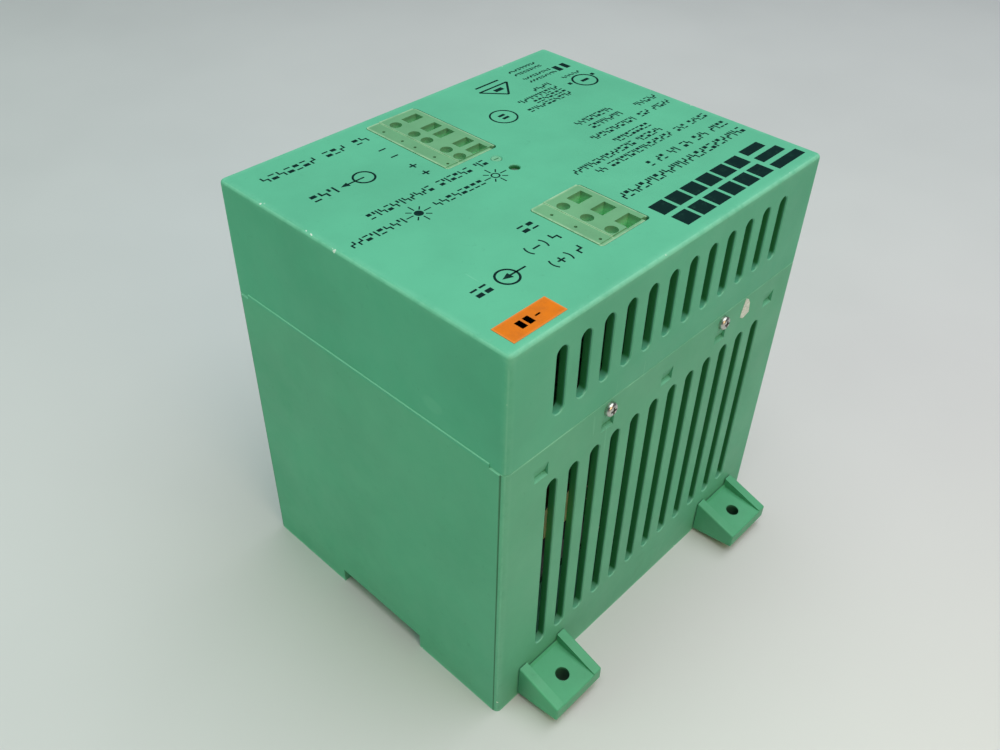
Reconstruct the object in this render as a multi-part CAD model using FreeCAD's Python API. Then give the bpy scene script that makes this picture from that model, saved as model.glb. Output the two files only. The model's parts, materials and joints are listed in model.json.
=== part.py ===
import FreeCAD, Part
import os

# DIN rail power supply, lying on its back: the rail side is down and the terminals face up.
# Millimetres. X runs along the rail, Y across it, +Z out of the front face.
# The origin is the middle of the rail channel, in the plane of the housing's back.

V = FreeCAD.Vector

# Housing: two moulded shells that meet at the seam.
WIDTH = 125.0
NEAR_Y = -50.0
FAR_Y = 52.0
HEIGHT = 132.0
SEAM_Z = 97.5
WALL = 2.4
BACK_WALL = 2.5
CORNER_R = 1.6
INNER_CORNER_R = 1.0
TOP_EDGE_R = 1.1
SEAM_CHAMFER = 0.3
PANEL_T = 0.25
PANEL_LOW_T = 0.1
SIDE_TAB_Y = (-45.0, 47.0)
SIDE_TAB_TOP_Z = 98.5
HALF_W = WIDTH / 2
MID_Y = (NEAR_Y + FAR_Y) / 2

# Vent slots, a row in each shell on both long sides.
SLOT_COUNT = 12
SLOT_PITCH = 8.25
SLOT_W = 3.8
BASE_SLOT_Z = (17.7, 84.0)
COVER_SLOT_Z = (105.7, 125.4)
SLOT_EDGE = 0.25

# Latch pockets in the base, in a row under the seam.
POCKET_PITCH = 25.0
POCKET_COUNT = 5
POCKET_W = 4.9
POCKET_TOP_Z = 92.0
POCKET_FLOOR_Z = 88.2
POCKET_LIP_Z = 87.6
POCKET_DEPTH = 1.1

# Housing screws, and the cover's tongues and pads inside the base's wall.
SCREW_X = 25.0
SCREW_Z = 94.4
SCREW_HEAD_R = 2.05
SCREW_HEAD_H = 1.5
SCREW_HEAD_ROUND = 1.0
SCREW_SHANK_R = 1.25
SCREW_LENGTH = 7.5
CROSS_REACH = 1.15
CROSS_HALF_W = 0.32
CROSS_DEPTH = 0.9
TAB_W = 5.0
TAB_T = 1.4
TAB_LOW_Z = 89.5
TAB_TOP_Z = SEAM_Z + 4
TAB_FACE_Y = NEAR_Y + WALL + 0.15
BOSS_R = 2.9
BOSS_DEPTH = 5.0
BOSS_WEB_HALF = 1.6

# Rail channel for a 35 mm top-hat rail, with fixed hooks on the far side.
CHANNEL_HALF = 17.7
CHANNEL_DEPTH = 5.5
RAIL_FLANGE_T = 1.1
HOOK_REACH = 2.0
HOOK_T = 1.4
HOOK_W = 19.6
HOOK_LOW_Z = CHANNEL_DEPTH - RAIL_FLANGE_T - HOOK_T

# Sliding feet that hold the near edge of the rail.
FOOT_X = 44.2
FOOT_W = 19.6
FOOT_OUT_Y = -65.0
FOOT_GAP = 0.3
FOOT_FLOOR_Z = 9.8
FOOT_TIP_Z = 8.0
FOOT_RIB_TOP_Z = 13.2
FOOT_LOW_Z = 1.4
FOOT_TIP_LOW_Z = 3.6
FOOT_RIB_W = 3.2
FOOT_RIB_TIP = 0.3
FOOT_HOLE_R = 2.1
FOOT_HOLE_Y = -58.3
FOOT_ROUND = 0.5
HEEL_W = 0.8
HEEL_H = 0.8
SLIDER_HALF = 8.8
SLIDER_RAIL_HALF = 6.8
SLIDER_STEP_Z = 2.6
SLIDER_TOP_Z = 6.0
SPRING_POST_Y = (-40.0, -37.5)
SPRING_SLOT_Y = (-40.3, -22.0)
SPRING_SLOT_HALF = 2.6
SPRING_R = 1.45
SPRING_WIRE_R = 0.25
SPRING_Z = 4.1
SPRING_TURNS = 9
SPRING_GAP = 0.1

# Circuit boards, both standing on edge across the rail.
BOARD_T = 1.6
BOARD_Y = (-46.4, 48.4)
BOARD_LOW_Z = 10.0
POWER_BOARD_X = -57.9
POWER_BOARD_TOP_Z = 112.0
CONTROL_BOARD_X = 3.0
CONTROL_BOARD_TOP_Z = 126.0
RIB_T = 1.3
RIB_TOP_Z = 86.0
RIB_REACH = 2.3
RIB_GAP = 0.1
REST_LAP = 0.8
REST_Y = ((-46, -36), (38, 48))
BOARD_HOLE_R = 1.6
BOARD_HOLE_Y = (-38, 40)
BOARD_HOLE_LOW_Z = 14
BOARD_HOLE_TOP_Z = 107
BOARD_NOTCH_Y = ((-47, -45.5), (47.5, 49))
POWER_FACE = POWER_BOARD_X + BOARD_T
CONTROL_BACK = CONTROL_BOARD_X + BOARD_T

# Terminal plugs: wire entry, screw and test hole for each pole, all open at the front.
PLUG_X = (-17.2, 1.5)
PLUG_LOW_Z = 106.5
PLUG_TOP_Z = 132.3
PLUG_SPLIT_Z = 118.0
PLUG_CORNER_R = 1.0
PLUG_STRIP_X = -12.3
PLUG_STRIP_STEP = 0.15
PLUG_LEDGE_W = 1.0
PLUG_LEDGE_STEP = 0.35
PLUG_NOTCH_DEPTH = 2.2
IN_PLUG_Y = (-37.1, -14.2)
OUT_PLUG_Y = (14.7, 47.5)
IN_POLES = (-34.22, -26.6, -18.98)
OUT_POLES = (17.4, 22.48, 30.1, 35.18, 42.8)
IN_ENTRY_HALF = 2.0
OUT_ENTRY_HALF = 1.6
ENTRY_X = (-6.6, -1.0)
SCREW_BORE_X = -10.1
SCREW_BORE_R = 1.75
TERM_HEAD_R = 1.6
TERM_HEAD_H = 1.9
TERM_HEAD_GAP = 0.1
TERM_SLOT_HALF = 0.3
TERM_SLOT_DEPTH = 0.9
TERM_SEAT_Z = 127.4
TERM_SHANK_R = 1.25
TERM_SHANK_GAP = 0.05
TERM_SHANK_LOW_Z = 118.3
TEST_X = -15.1
TEST_R = 0.45
TEST_SHIFT = -0.6
TEST_DEPTH = 4.0
CLAMP_X = (-8.3, -7.1)
CLAMP_Z = (119.2, 123.2)
CLAMP_GROOVE_R = 0.4
CLAMP_INSET = 0.4
WINDOW_GAP_X = 0.9
WINDOW_GAP_Y = 0.25
WINDOW_GAP_Z = 0.3
PIN_X = -4.0
PIN_HALF = 0.5
PIN_TOP_Z = 114.0
CONTACT_HALF = 1.4
CONTACT_BORE_HALF = 0.85
CONTACT_CAP = 1.5
CONTACT_GAP = 0.1
CONTACT_LOW_Z = PLUG_LOW_Z + 0.7
OPENING_GAP = 0.15
HEADER_LOW_Z = 104.0
HEADER_TOP_Z = 118.0
HEADER_FLOOR_T = 2.0
HEADER_WALL = 1.4
HEADER_GAP = 0.4
PIN_TAIL_Z = (HEADER_LOW_Z - 2, HEADER_LOW_Z - 1)

# Output voltage trimmer and status lamp, both reached through the front.
TRIM_X = -3.6
TRIM_Y = 10.1
TRIM_HOLE_R = 1.5
TRIM_Z = (118.0, 126.5)
TRIM_REACH = 3.2
TRIM_HALF = 3.0
ROTOR_LOW_Z = 121.2
STEM_R = 1.2
STEM_GAP = 0.05
KNOB_R = 1.4
KNOB_TOP_Z = HEIGHT - 0.15
KNOB_SLOT_HALF = 0.2
KNOB_SLOT_DEPTH = 0.6
ROUND_HOLE_EDGE = 0.22
LAMP_Y = 3.5
LAMP_R = 1.5
LAMP_GAP = 0.05
LAMP_RECESS = 1.3
PIPE_LOW_Z = 123.6
PIPE_FLANGE_R = 2.2
PIPE_FLANGE_T = 1.0
LED_R = 1.5
LED_Z = (118.0, 121.8)
LED_STAND_LOW_Z = 115.0
LED_STAND_HALF = 1.6

# Marker label on the front.
LABEL_X = (-58.6, -41.8)
LABEL_Y = (-47.5, -40.8)
LABEL_T = 0.12


def box(x, y, z):
    """A box between pairs of x, y and z limits."""
    return Part.makeBox(x[1] - x[0], y[1] - y[0], z[1] - z[0], V(x[0], y[0], z[0]))


def around(centre, half):
    """The limits of a span, from its centre and half its length."""
    return (centre - half, centre + half)


def rod(radius, start, end):
    """A cylinder between two points."""
    axis = V(*end) - V(*start)
    return Part.makeCylinder(radius, axis.Length, V(*start), axis)


def fuse(shapes):
    """One solid from touching shapes."""
    return shapes[0].multiFuse(shapes[1:]).removeSplitter()


def cut(shape, tools):
    """The shape with every tool taken away."""
    return shape.cut(Part.makeCompound(tools))


def prism(points, along):
    """A closed outline pushed along a vector."""
    corners = [V(*p) for p in points]
    return Part.Face(Part.makePolygon(corners + corners[:1])).extrude(V(*along))


def edges_where(shape, test):
    """The shape's edges whose ends both pass the test."""
    return [e for e in shape.Edges if all(test(v.Point) for v in e.Vertexes)]


def upright_edges(shape):
    """The shape's edges along Z."""
    return [e for e in shape.Edges if len(e.Vertexes) == 2
            and (e.Vertexes[0].Point - e.Vertexes[1].Point).cross(V(0, 0, 1)).Length < 1e-6]


def rounded_box(x, y, z, radius):
    """A box with its upright edges rounded."""
    block = box(x, y, z)
    return block.makeFillet(radius, upright_edges(block))


def far_copy(shape):
    """The same shape mirrored to the housing's far side."""
    return shape.mirror(V(0, MID_Y, 0), V(0, 1, 0))


def both_sides(shapes):
    """The shapes of the near side with their far copies."""
    return shapes + [far_copy(s) for s in shapes]


def save(name, shape):
    """Writes one node and reports its size."""
    if not shape.isValid() or not shape.Solids:
        raise ValueError(name + " is not a valid solid")
    shape.exportStep("parts/" + name + ".step")
    size = shape.BoundBox
    print("%-24s solids %2d volume %9.1f  z %6.1f to %6.1f"
          % (name, len(shape.Solids), shape.Volume, size.ZMin, size.ZMax))


# ---------------------------------------------------------------- housing


def slot_positions():
    """The X of each vent slot in a row."""
    return [(i - (SLOT_COUNT - 1) / 2) * SLOT_PITCH for i in range(SLOT_COUNT)]


def slot_cutter(x, z):
    """A round-ended slot through the near wall."""
    r = SLOT_W / 2
    y = NEAR_Y - 1
    low, high = z[0] + r, z[1] - r
    edges = [
        Part.Arc(V(x - r, y, low), V(x, y, z[0]), V(x + r, y, low)).toShape(),
        Part.makeLine(V(x + r, y, low), V(x + r, y, high)),
        Part.Arc(V(x + r, y, high), V(x, y, z[1]), V(x - r, y, high)).toShape(),
        Part.makeLine(V(x - r, y, high), V(x - r, y, low)),
    ]
    return Part.Face(Part.Wire(edges)).extrude(V(0, WALL + 2, 0))


def vent_cutters(z):
    """Both rows of slots at one height."""
    return both_sides([slot_cutter(x, z) for x in slot_positions()])


def soften_slots(shell, z):
    """A small bevel round the mouth of every slot."""
    def on_mouth(p):
        on_face = abs(p.y - NEAR_Y) < 1e-4 or abs(p.y - FAR_Y) < 1e-4
        in_row = z[0] - 0.1 < p.z < z[1] + 0.1
        return on_face and in_row and abs(p.x) < HALF_W - CORNER_R - 1

    return shell.makeChamfer(SLOT_EDGE, edges_where(shell, on_mouth))


def pocket_positions():
    """The X of each latch pocket."""
    return [(i - (POCKET_COUNT - 1) / 2) * POCKET_PITCH for i in range(POCKET_COUNT)]


def pocket_cutter(x):
    """A wedge that runs in from flush at the top to a ledge at the bottom."""
    slope = (POCKET_TOP_Z - POCKET_FLOOR_Z) / POCKET_DEPTH
    out = 0.5
    left = x - POCKET_W / 2
    return prism([
        (left, NEAR_Y - out, POCKET_TOP_Z + out * slope),
        (left, NEAR_Y + POCKET_DEPTH, POCKET_FLOOR_Z),
        (left, NEAR_Y, POCKET_LIP_Z),
        (left, NEAR_Y - out, POCKET_LIP_Z),
    ], (POCKET_W, 0, 0))


def screw_hole(x, radius, depth):
    """A round hole through the near wall at screw height."""
    return rod(radius, (x, NEAR_Y - 1, SCREW_Z), (x, NEAR_Y + depth, SCREW_Z))


def panel_profile(side, low_z, low_t, top_z, inset):
    """The XZ outline of a side wall's raised outer skin, with a sloping top edge."""
    x = side * HALF_W
    return [
        (x - side * inset, low_z),
        (x + side * low_t, low_z),
        (x + side * PANEL_T, top_z - PANEL_T),
        (x, top_z),
        (x - side * inset, top_z),
    ]


def side_panel(side):
    """The slightly raised panel of the base's side wall, between its rounded corners."""
    y = (NEAR_Y + CORNER_R, FAR_Y - CORNER_R)
    outline = panel_profile(side, 0, PANEL_LOW_T, SEAM_Z - SEAM_CHAMFER, WALL / 2)
    return prism([(x, y[0], z) for x, z in outline], (0, y[1] - y[0], 0))


def side_tab(side):
    """The long tab of a side wall that rises past the seam into a notch of the cover."""
    outline = panel_profile(side, SEAM_Z - 1, PANEL_T, SIDE_TAB_TOP_Z, WALL)
    return prism([(x, SIDE_TAB_Y[0], z) for x, z in outline], (0, SIDE_TAB_Y[1] - SIDE_TAB_Y[0], 0))


def side_notches():
    """The notches in the cover's side walls that take the base's tabs."""
    z = (SEAM_Z - 1, SIDE_TAB_TOP_Z)
    return [box(sorted((side * (HALF_W - WALL - 1), side * (HALF_W + 1))), SIDE_TAB_Y, z) for side in (-1, 1)]


def foot_tunnel(side):
    """The T-shaped way that a foot slides in, open to the back."""
    x = side * FOOT_X
    y = (NEAR_Y - 1, 1 - CHANNEL_HALF)
    wide = box(around(x, SLIDER_HALF + FOOT_GAP), y, (SLIDER_STEP_Z - FOOT_GAP, SLIDER_TOP_Z + FOOT_GAP))
    mouth = box(around(x, SLIDER_RAIL_HALF + FOOT_GAP), y, (-1, SLIDER_STEP_Z))
    return fuse([wide, mouth])


def back_structure():
    """The raised inside faces over the rail channel and the foot tunnels."""
    inside_x = (WALL - HALF_W - 0.5, HALF_W - WALL + 0.5)
    channel = box(inside_x, around(0, CHANNEL_HALF + WALL), (0, CHANNEL_DEPTH + BACK_WALL))
    tunnels = []
    for side in (-1, 1):
        x = around(side * FOOT_X, SLIDER_HALF + FOOT_GAP + WALL)
        tunnels.append(box(x, (NEAR_Y + 1, -CHANNEL_HALF), (0, SLIDER_TOP_Z + FOOT_GAP + BACK_WALL)))
    return [channel] + tunnels


def rail_hooks():
    """The fixed lips under the far edge of the rail."""
    y = (CHANNEL_HALF - HOOK_REACH, CHANNEL_HALF + 0.5)
    z = (HOOK_LOW_Z, HOOK_LOW_Z + HOOK_T)
    return [box(around(side * FOOT_X, HOOK_W / 2), y, z) for side in (-1, 1)]


def spring_posts():
    """The stops that each foot spring pushes against."""
    z = (SLIDER_STEP_Z, SLIDER_TOP_Z + FOOT_GAP + 0.5)
    return [box(around(side * FOOT_X, SPRING_SLOT_HALF - 0.4), SPRING_POST_Y, z) for side in (-1, 1)]


def board_ribs():
    """Pairs of ribs that hold the upright edges of both boards."""
    ribs = []
    for face in (POWER_BOARD_X, CONTROL_BOARD_X):
        for x in (face - RIB_GAP - RIB_T, face + BOARD_T + RIB_GAP):
            near = box((x, x + RIB_T), (NEAR_Y + 1, NEAR_Y + WALL + RIB_REACH), (1, RIB_TOP_Z))
            ribs += [near, far_copy(near)]
    return ribs


def board_rests():
    """Low walls that the lower edges of the boards stand on."""
    rests = []
    for face in (POWER_BOARD_X, CONTROL_BOARD_X):
        x = (face - REST_LAP, face + BOARD_T + REST_LAP)
        rests += [box(x, y, (1, BOARD_LOW_Z)) for y in REST_Y]
    return rests


def base_housing():
    """The deep shell that carries the rail fixings and the boards."""
    outer = rounded_box((-HALF_W, HALF_W), (NEAR_Y, FAR_Y), (0, SEAM_Z), CORNER_R)
    rim = edges_where(outer, lambda p: abs(p.z - SEAM_Z) < 1e-6)
    outer = outer.makeChamfer(SEAM_CHAMFER, rim)
    hollow = rounded_box((WALL - HALF_W, HALF_W - WALL), (NEAR_Y + WALL, FAR_Y - WALL),
                         (BACK_WALL, SEAM_Z + 1), INNER_CORNER_R)
    outside = [outer.cut(hollow)] + [f(side) for f in (side_panel, side_tab) for side in (-1, 1)]
    shell = fuse(outside + back_structure() + board_ribs() + board_rests())
    channel = box((-WIDTH, WIDTH), around(0, CHANNEL_HALF), (-1, CHANNEL_DEPTH))
    shell = cut(shell, [channel, foot_tunnel(-1), foot_tunnel(1)] + vent_cutters(BASE_SLOT_Z))
    shell = soften_slots(shell, BASE_SLOT_Z)
    pockets = [pocket_cutter(x) for x in pocket_positions()]
    holes = [screw_hole(side * SCREW_X, SCREW_SHANK_R + 0.2, WALL + 1) for side in (-1, 1)]
    shell = cut(shell, both_sides(pockets + holes))
    return fuse([shell] + rail_hooks() + spring_posts())


def snap_tab(x):
    """A tongue of the cover that reaches down inside the base's near wall."""
    inner = TAB_FACE_Y + TAB_T
    tongue = box(around(x, TAB_W / 2), (TAB_FACE_Y, inner), (TAB_LOW_Z, TAB_TOP_Z))
    shoulder = box(around(x, TAB_W / 2), (NEAR_Y + 1, inner), (SEAM_Z + 0.5, TAB_TOP_Z))
    return [tongue, shoulder]


def screw_boss(x):
    """A thick round pad on a tongue that takes a housing screw."""
    inner = TAB_FACE_Y + BOSS_DEPTH
    pad = rod(BOSS_R, (x, TAB_FACE_Y, SCREW_Z), (x, inner, SCREW_Z))
    web = box(around(x, BOSS_WEB_HALF), (TAB_FACE_Y, inner), (SCREW_Z, TAB_TOP_Z))
    return [pad, web]


def round_opening(y, radius):
    """A round hole through the front with a small bevel at its mouth."""
    through = rod(radius, (TRIM_X, y, HEIGHT - WALL - 1), (TRIM_X, y, HEIGHT + 1))
    edge = ROUND_HOLE_EDGE
    mouth = Part.makeCone(radius, radius + 2 * edge, 2 * edge, V(TRIM_X, y, HEIGHT - edge))
    return [through, mouth]


def front_openings():
    """The holes in the front for the two plugs, the trimmer and the lamp."""
    z = (HEIGHT - WALL - 1, HEIGHT + 1)
    tools = round_opening(TRIM_Y, TRIM_HOLE_R) + round_opening(LAMP_Y, LAMP_R + LAMP_GAP)
    for y in (IN_PLUG_Y, OUT_PLUG_Y):
        x = (PLUG_X[0] - OPENING_GAP, PLUG_X[1] + OPENING_GAP)
        tools.append(rounded_box(x, (y[0] - OPENING_GAP, y[1] + OPENING_GAP), z, PLUG_CORNER_R + OPENING_GAP))
    return tools


def front_cover():
    """The shallow shell with the front face."""
    outer = rounded_box((-HALF_W, HALF_W), (NEAR_Y, FAR_Y), (SEAM_Z, HEIGHT), CORNER_R)
    outer = outer.makeFillet(TOP_EDGE_R, edges_where(outer, lambda p: abs(p.z - HEIGHT) < 1e-6))
    hollow = rounded_box((WALL - HALF_W, HALF_W - WALL), (NEAR_Y + WALL, FAR_Y - WALL),
                         (SEAM_Z - 1, HEIGHT - WALL), INNER_CORNER_R)
    tabs = [t for x in pocket_positions() for t in snap_tab(x)]
    bosses = [b for side in (-1, 1) for b in screw_boss(side * SCREW_X)]
    shell = fuse([outer.cut(hollow)] + both_sides(tabs + bosses))
    holes = [screw_hole(side * SCREW_X, SCREW_SHANK_R, SCREW_LENGTH + 1.5) for side in (-1, 1)]
    tools = vent_cutters(COVER_SLOT_Z) + both_sides(holes) + front_openings() + side_notches()
    shell = cut(shell, tools)
    return soften_slots(shell, COVER_SLOT_Z)


def cross_recess(x, face_y):
    """The cross-shaped driver recess of a screw whose head faces -Y."""
    y = (face_y - 1, face_y + CROSS_DEPTH)
    wide = box(around(x, CROSS_REACH), y, around(SCREW_Z, CROSS_HALF_W))
    tall = box(around(x, CROSS_HALF_W), y, around(SCREW_Z, CROSS_REACH))
    return [wide, tall]


def housing_screw(x):
    """A pan-head screw that ties the base to the cover."""
    face = NEAR_Y - SCREW_HEAD_H
    head = rod(SCREW_HEAD_R, (x, face, SCREW_Z), (x, NEAR_Y, SCREW_Z))
    crown = edges_where(head, lambda p: abs(p.y - face) < 1e-6)
    head = head.makeFillet(SCREW_HEAD_ROUND, crown)
    shank = rod(SCREW_SHANK_R, (x, NEAR_Y - 0.5, SCREW_Z), (x, NEAR_Y + SCREW_LENGTH, SCREW_Z))
    return cut(fuse([head, shank]), cross_recess(x, face))


def housing_screws():
    """The four screws, two on each long side."""
    return Part.makeCompound(both_sides([housing_screw(side * SCREW_X) for side in (-1, 1)]))


def marker_label():
    """A printed tag stuck on the front face."""
    return box(LABEL_X, LABEL_Y, (HEIGHT, HEIGHT + LABEL_T))


# ---------------------------------------------------------------- feet


def foot_wedge(x, top_outer, top_inner):
    """The outer block of a foot, with a sloping underside."""
    inner = NEAR_Y - FOOT_GAP
    return prism([
        (x[0], inner, FOOT_LOW_Z),
        (x[0], FOOT_OUT_Y, FOOT_TIP_LOW_Z),
        (x[0], FOOT_OUT_Y, top_outer),
        (x[0], inner, top_inner),
    ], (x[1] - x[0], 0, 0))


def foot_recess(x):
    """The room between a foot's ribs, over its sloping floor."""
    inner = NEAR_Y - FOOT_GAP
    return prism([
        (x[0], inner + 1, FOOT_FLOOR_Z),
        (x[0], inner, FOOT_FLOOR_Z),
        (x[0], FOOT_OUT_Y, FOOT_TIP_Z),
        (x[0], FOOT_OUT_Y - 1, FOOT_TIP_Z),
        (x[0], FOOT_OUT_Y - 1, HEIGHT),
        (x[0], inner + 1, HEIGHT),
    ], (x[1] - x[0], 0, 0))


def foot_slider(centre):
    """The inner tongue of a foot, with the lip that holds the rail."""
    y = (NEAR_Y - FOOT_GAP - 1, -CHANNEL_HALF - 0.2)
    plate = box(around(centre, SLIDER_HALF), y, (SLIDER_STEP_Z, SLIDER_TOP_Z))
    rail = box(around(centre, SLIDER_RAIL_HALF), y, (FOOT_LOW_Z, SLIDER_STEP_Z + 0.5))
    lip_z = (HOOK_LOW_Z, HOOK_LOW_Z + HOOK_T)
    lip = box(around(centre, SLIDER_RAIL_HALF), (y[1] - 1, HOOK_REACH - CHANNEL_HALF), lip_z)
    slot = box(around(centre, SPRING_SLOT_HALF), SPRING_SLOT_Y, (0, SLIDER_TOP_Z + 1))
    return fuse([plate, rail, lip]).cut(slot)


def rail_foot(side):
    """A sliding rail foot: ribbed wedge outside, tongue inside."""
    centre = side * FOOT_X
    x = around(centre, FOOT_W / 2)
    ribs = foot_wedge(x, FOOT_TIP_Z + FOOT_RIB_TIP, FOOT_RIB_TOP_Z)
    recess_x = (x[0] + FOOT_RIB_W, x[1] - FOOT_RIB_W)
    recess = foot_recess(recess_x)
    hole = rod(FOOT_HOLE_R, (centre, FOOT_HOLE_Y, -1), (centre, FOOT_HOLE_Y, FOOT_RIB_TOP_Z))
    outside = cut(ribs, [recess, hole])
    rounded = [e for e in outside.Edges if is_foot_outline(e, x)]
    outside = outside.makeFillet(FOOT_ROUND, rounded)
    inner = NEAR_Y - FOOT_GAP
    heel = prism([
        (recess_x[0], inner, FOOT_FLOOR_Z - 0.3),
        (recess_x[0], inner - HEEL_W, FOOT_FLOOR_Z - 0.3),
        (recess_x[0], inner, FOOT_FLOOR_Z + HEEL_H),
    ], (recess_x[1] - recess_x[0], 0, 0))
    return fuse([outside, heel, foot_slider(centre)])


def is_foot_outline(edge, x):
    """True for the outer top and end edges of a foot's wedge."""
    points = [v.Point for v in edge.Vertexes]
    if len(points) != 2:
        return False
    on_side = all(min(abs(p.x - x[0]), abs(p.x - x[1])) < 1e-6 for p in points)
    on_end = all(abs(p.y - FOOT_OUT_Y) < 1e-6 for p in points)
    above = all(p.z > FOOT_TIP_LOW_Z - 1e-6 for p in points)
    return above and (on_side or on_end)


def foot_spring(side):
    """The coil spring that pulls a foot home."""
    start = SPRING_POST_Y[1] + SPRING_WIRE_R + SPRING_GAP
    end = SPRING_SLOT_Y[1] - SPRING_WIRE_R - SPRING_GAP
    length = end - start
    path = Part.makeHelix(length / SPRING_TURNS, length, SPRING_R)
    profile = Part.Wire(Part.Circle(V(SPRING_R, 0, 0), V(0, 1, 0), SPRING_WIRE_R).toShape())
    coil = Part.Wire(path).makePipeShell([profile], True, True)
    coil.rotate(V(0, 0, 0), V(1, 0, 0), -90)
    coil.translate(V(side * FOOT_X, start, SPRING_Z))
    return coil


# ---------------------------------------------------------------- boards and terminals


def power_board():
    """The board with the mains side and the transformer."""
    board = box((POWER_BOARD_X, POWER_FACE), BOARD_Y, (BOARD_LOW_Z, POWER_BOARD_TOP_Z))
    holes = [rod(BOARD_HOLE_R, (POWER_BOARD_X - 1, y, z), (POWER_FACE + 1, y, z))
             for y in BOARD_HOLE_Y for z in (BOARD_HOLE_LOW_Z, BOARD_HOLE_TOP_Z)]
    return cut(board, holes)


def control_board():
    """The board with the output side and the terminal headers."""
    board = box((CONTROL_BOARD_X, CONTROL_BACK), BOARD_Y, (BOARD_LOW_Z, CONTROL_BOARD_TOP_Z))
    z = BOARD_HOLE_LOW_Z
    holes = [rod(BOARD_HOLE_R, (CONTROL_BOARD_X - 1, y, z), (CONTROL_BACK + 1, y, z)) for y in BOARD_HOLE_Y]
    x = (CONTROL_BOARD_X - 1, CONTROL_BACK + 1)
    corners = [box(x, y, (SEAM_Z + 2, HEIGHT)) for y in BOARD_NOTCH_Y]
    return cut(board, holes + corners)


def header(plug_y, poles):
    """The tray on the control board that a plug sits in."""
    y = (plug_y[0] - HEADER_GAP, plug_y[1] + HEADER_GAP)
    x = (PLUG_X[0] - HEADER_GAP, PLUG_X[1] + HEADER_GAP)
    outer = box((x[0] - HEADER_WALL, CONTROL_BOARD_X), (y[0] - HEADER_WALL, y[1] + HEADER_WALL),
                (HEADER_LOW_Z, HEADER_TOP_Z))
    tray = box(x, y, (HEADER_LOW_Z + HEADER_FLOOR_T, HEADER_TOP_Z + 1))
    return cut(outer, [tray] + [header_pin(pole) for pole in poles])


def header_pin(pole):
    """One bent pin, from the board up into the plug."""
    post = box(around(PIN_X, PIN_HALF), around(pole, PIN_HALF), (PIN_TAIL_Z[0], PIN_TOP_Z))
    tail = box((PIN_X, CONTROL_BOARD_X), around(pole, PIN_HALF), PIN_TAIL_Z)
    return fuse([post, tail])


def plug_block(plug_y, z):
    """A plug's plain block between two heights."""
    return rounded_box(PLUG_X, plug_y, z, PLUG_CORNER_R)


def plug_cavities(pole, entry_half):
    """Everything that one pole takes out of a plug's upper moulding."""
    z = (PLUG_SPLIT_Z - 1, PLUG_TOP_Z + 1)
    entry = box(ENTRY_X, around(pole, entry_half), z)
    bore = rod(SCREW_BORE_R, (SCREW_BORE_X, pole, TERM_SEAT_Z), (SCREW_BORE_X, pole, z[1]))
    shank = rod(TERM_SHANK_R + TERM_SHANK_GAP, (SCREW_BORE_X, pole, z[0]), (SCREW_BORE_X, pole, z[1]))
    window_x = (CLAMP_X[0] - WINDOW_GAP_X, ENTRY_X[0] + 0.5)
    window_z = (CLAMP_Z[0] - WINDOW_GAP_Z, CLAMP_Z[1] + WINDOW_GAP_Z)
    window = box(window_x, around(pole, clamp_half(entry_half) + WINDOW_GAP_Y), window_z)
    test_y = pole + TEST_SHIFT
    test = rod(TEST_R, (TEST_X, test_y, PLUG_TOP_Z - TEST_DEPTH), (TEST_X, test_y, z[1]))
    return [entry, bore, shank, window, test]


def plug_edges(plug_y):
    """The lower ledges along two edges of a plug's face, its test strip and its corner notch."""
    top = PLUG_TOP_Z + 1
    x = (PLUG_X[0] - 1, PLUG_X[1] + 1)
    y = (plug_y[0] - 1, plug_y[1] + 1)
    side = box((PLUG_X[1] - PLUG_LEDGE_W, x[1]), y, (PLUG_TOP_Z - PLUG_LEDGE_STEP, top))
    end = box(x, (y[0], plug_y[0] + PLUG_LEDGE_W), (PLUG_TOP_Z - PLUG_LEDGE_STEP, top))
    strip = box((x[0], PLUG_STRIP_X), y, (PLUG_TOP_Z - PLUG_STRIP_STEP, top))
    notch = box((PLUG_X[1] - 2 * PLUG_LEDGE_W, x[1]), (y[0], plug_y[0] + PLUG_LEDGE_W),
                (PLUG_TOP_Z - PLUG_NOTCH_DEPTH, top))
    return [side, end, strip, notch]


def plug_housing(plug_y, poles, entry_half):
    """The upper moulding of a terminal plug, with the wire entries."""
    block = plug_block(plug_y, (PLUG_SPLIT_Z, PLUG_TOP_Z))
    tools = [t for pole in poles for t in plug_cavities(pole, entry_half)]
    return cut(block, tools + plug_edges(plug_y))


def plug_base(plug_y, poles):
    """The lower moulding of a terminal plug, with a square socket for each contact."""
    block = plug_block(plug_y, (PLUG_LOW_Z, PLUG_SPLIT_Z))
    half = CONTACT_HALF + CONTACT_GAP
    z = (PLUG_LOW_Z - 1, PLUG_SPLIT_Z + 1)
    sockets = [box(around(PIN_X, half), around(pole, half), z) for pole in poles]
    return cut(block, sockets)


def plug_contacts(poles):
    """The metal sleeves that grip the header's pins."""
    contacts = []
    for pole in poles:
        outline = around(PIN_X, CONTACT_HALF), around(pole, CONTACT_HALF)
        bore = box(around(PIN_X, CONTACT_BORE_HALF), around(pole, CONTACT_BORE_HALF),
                   (PLUG_LOW_Z, PLUG_SPLIT_Z - CONTACT_CAP))
        contacts.append(box(*outline, (CONTACT_LOW_Z, PLUG_SPLIT_Z)).cut(bore))
    return Part.makeCompound(contacts)


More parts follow.
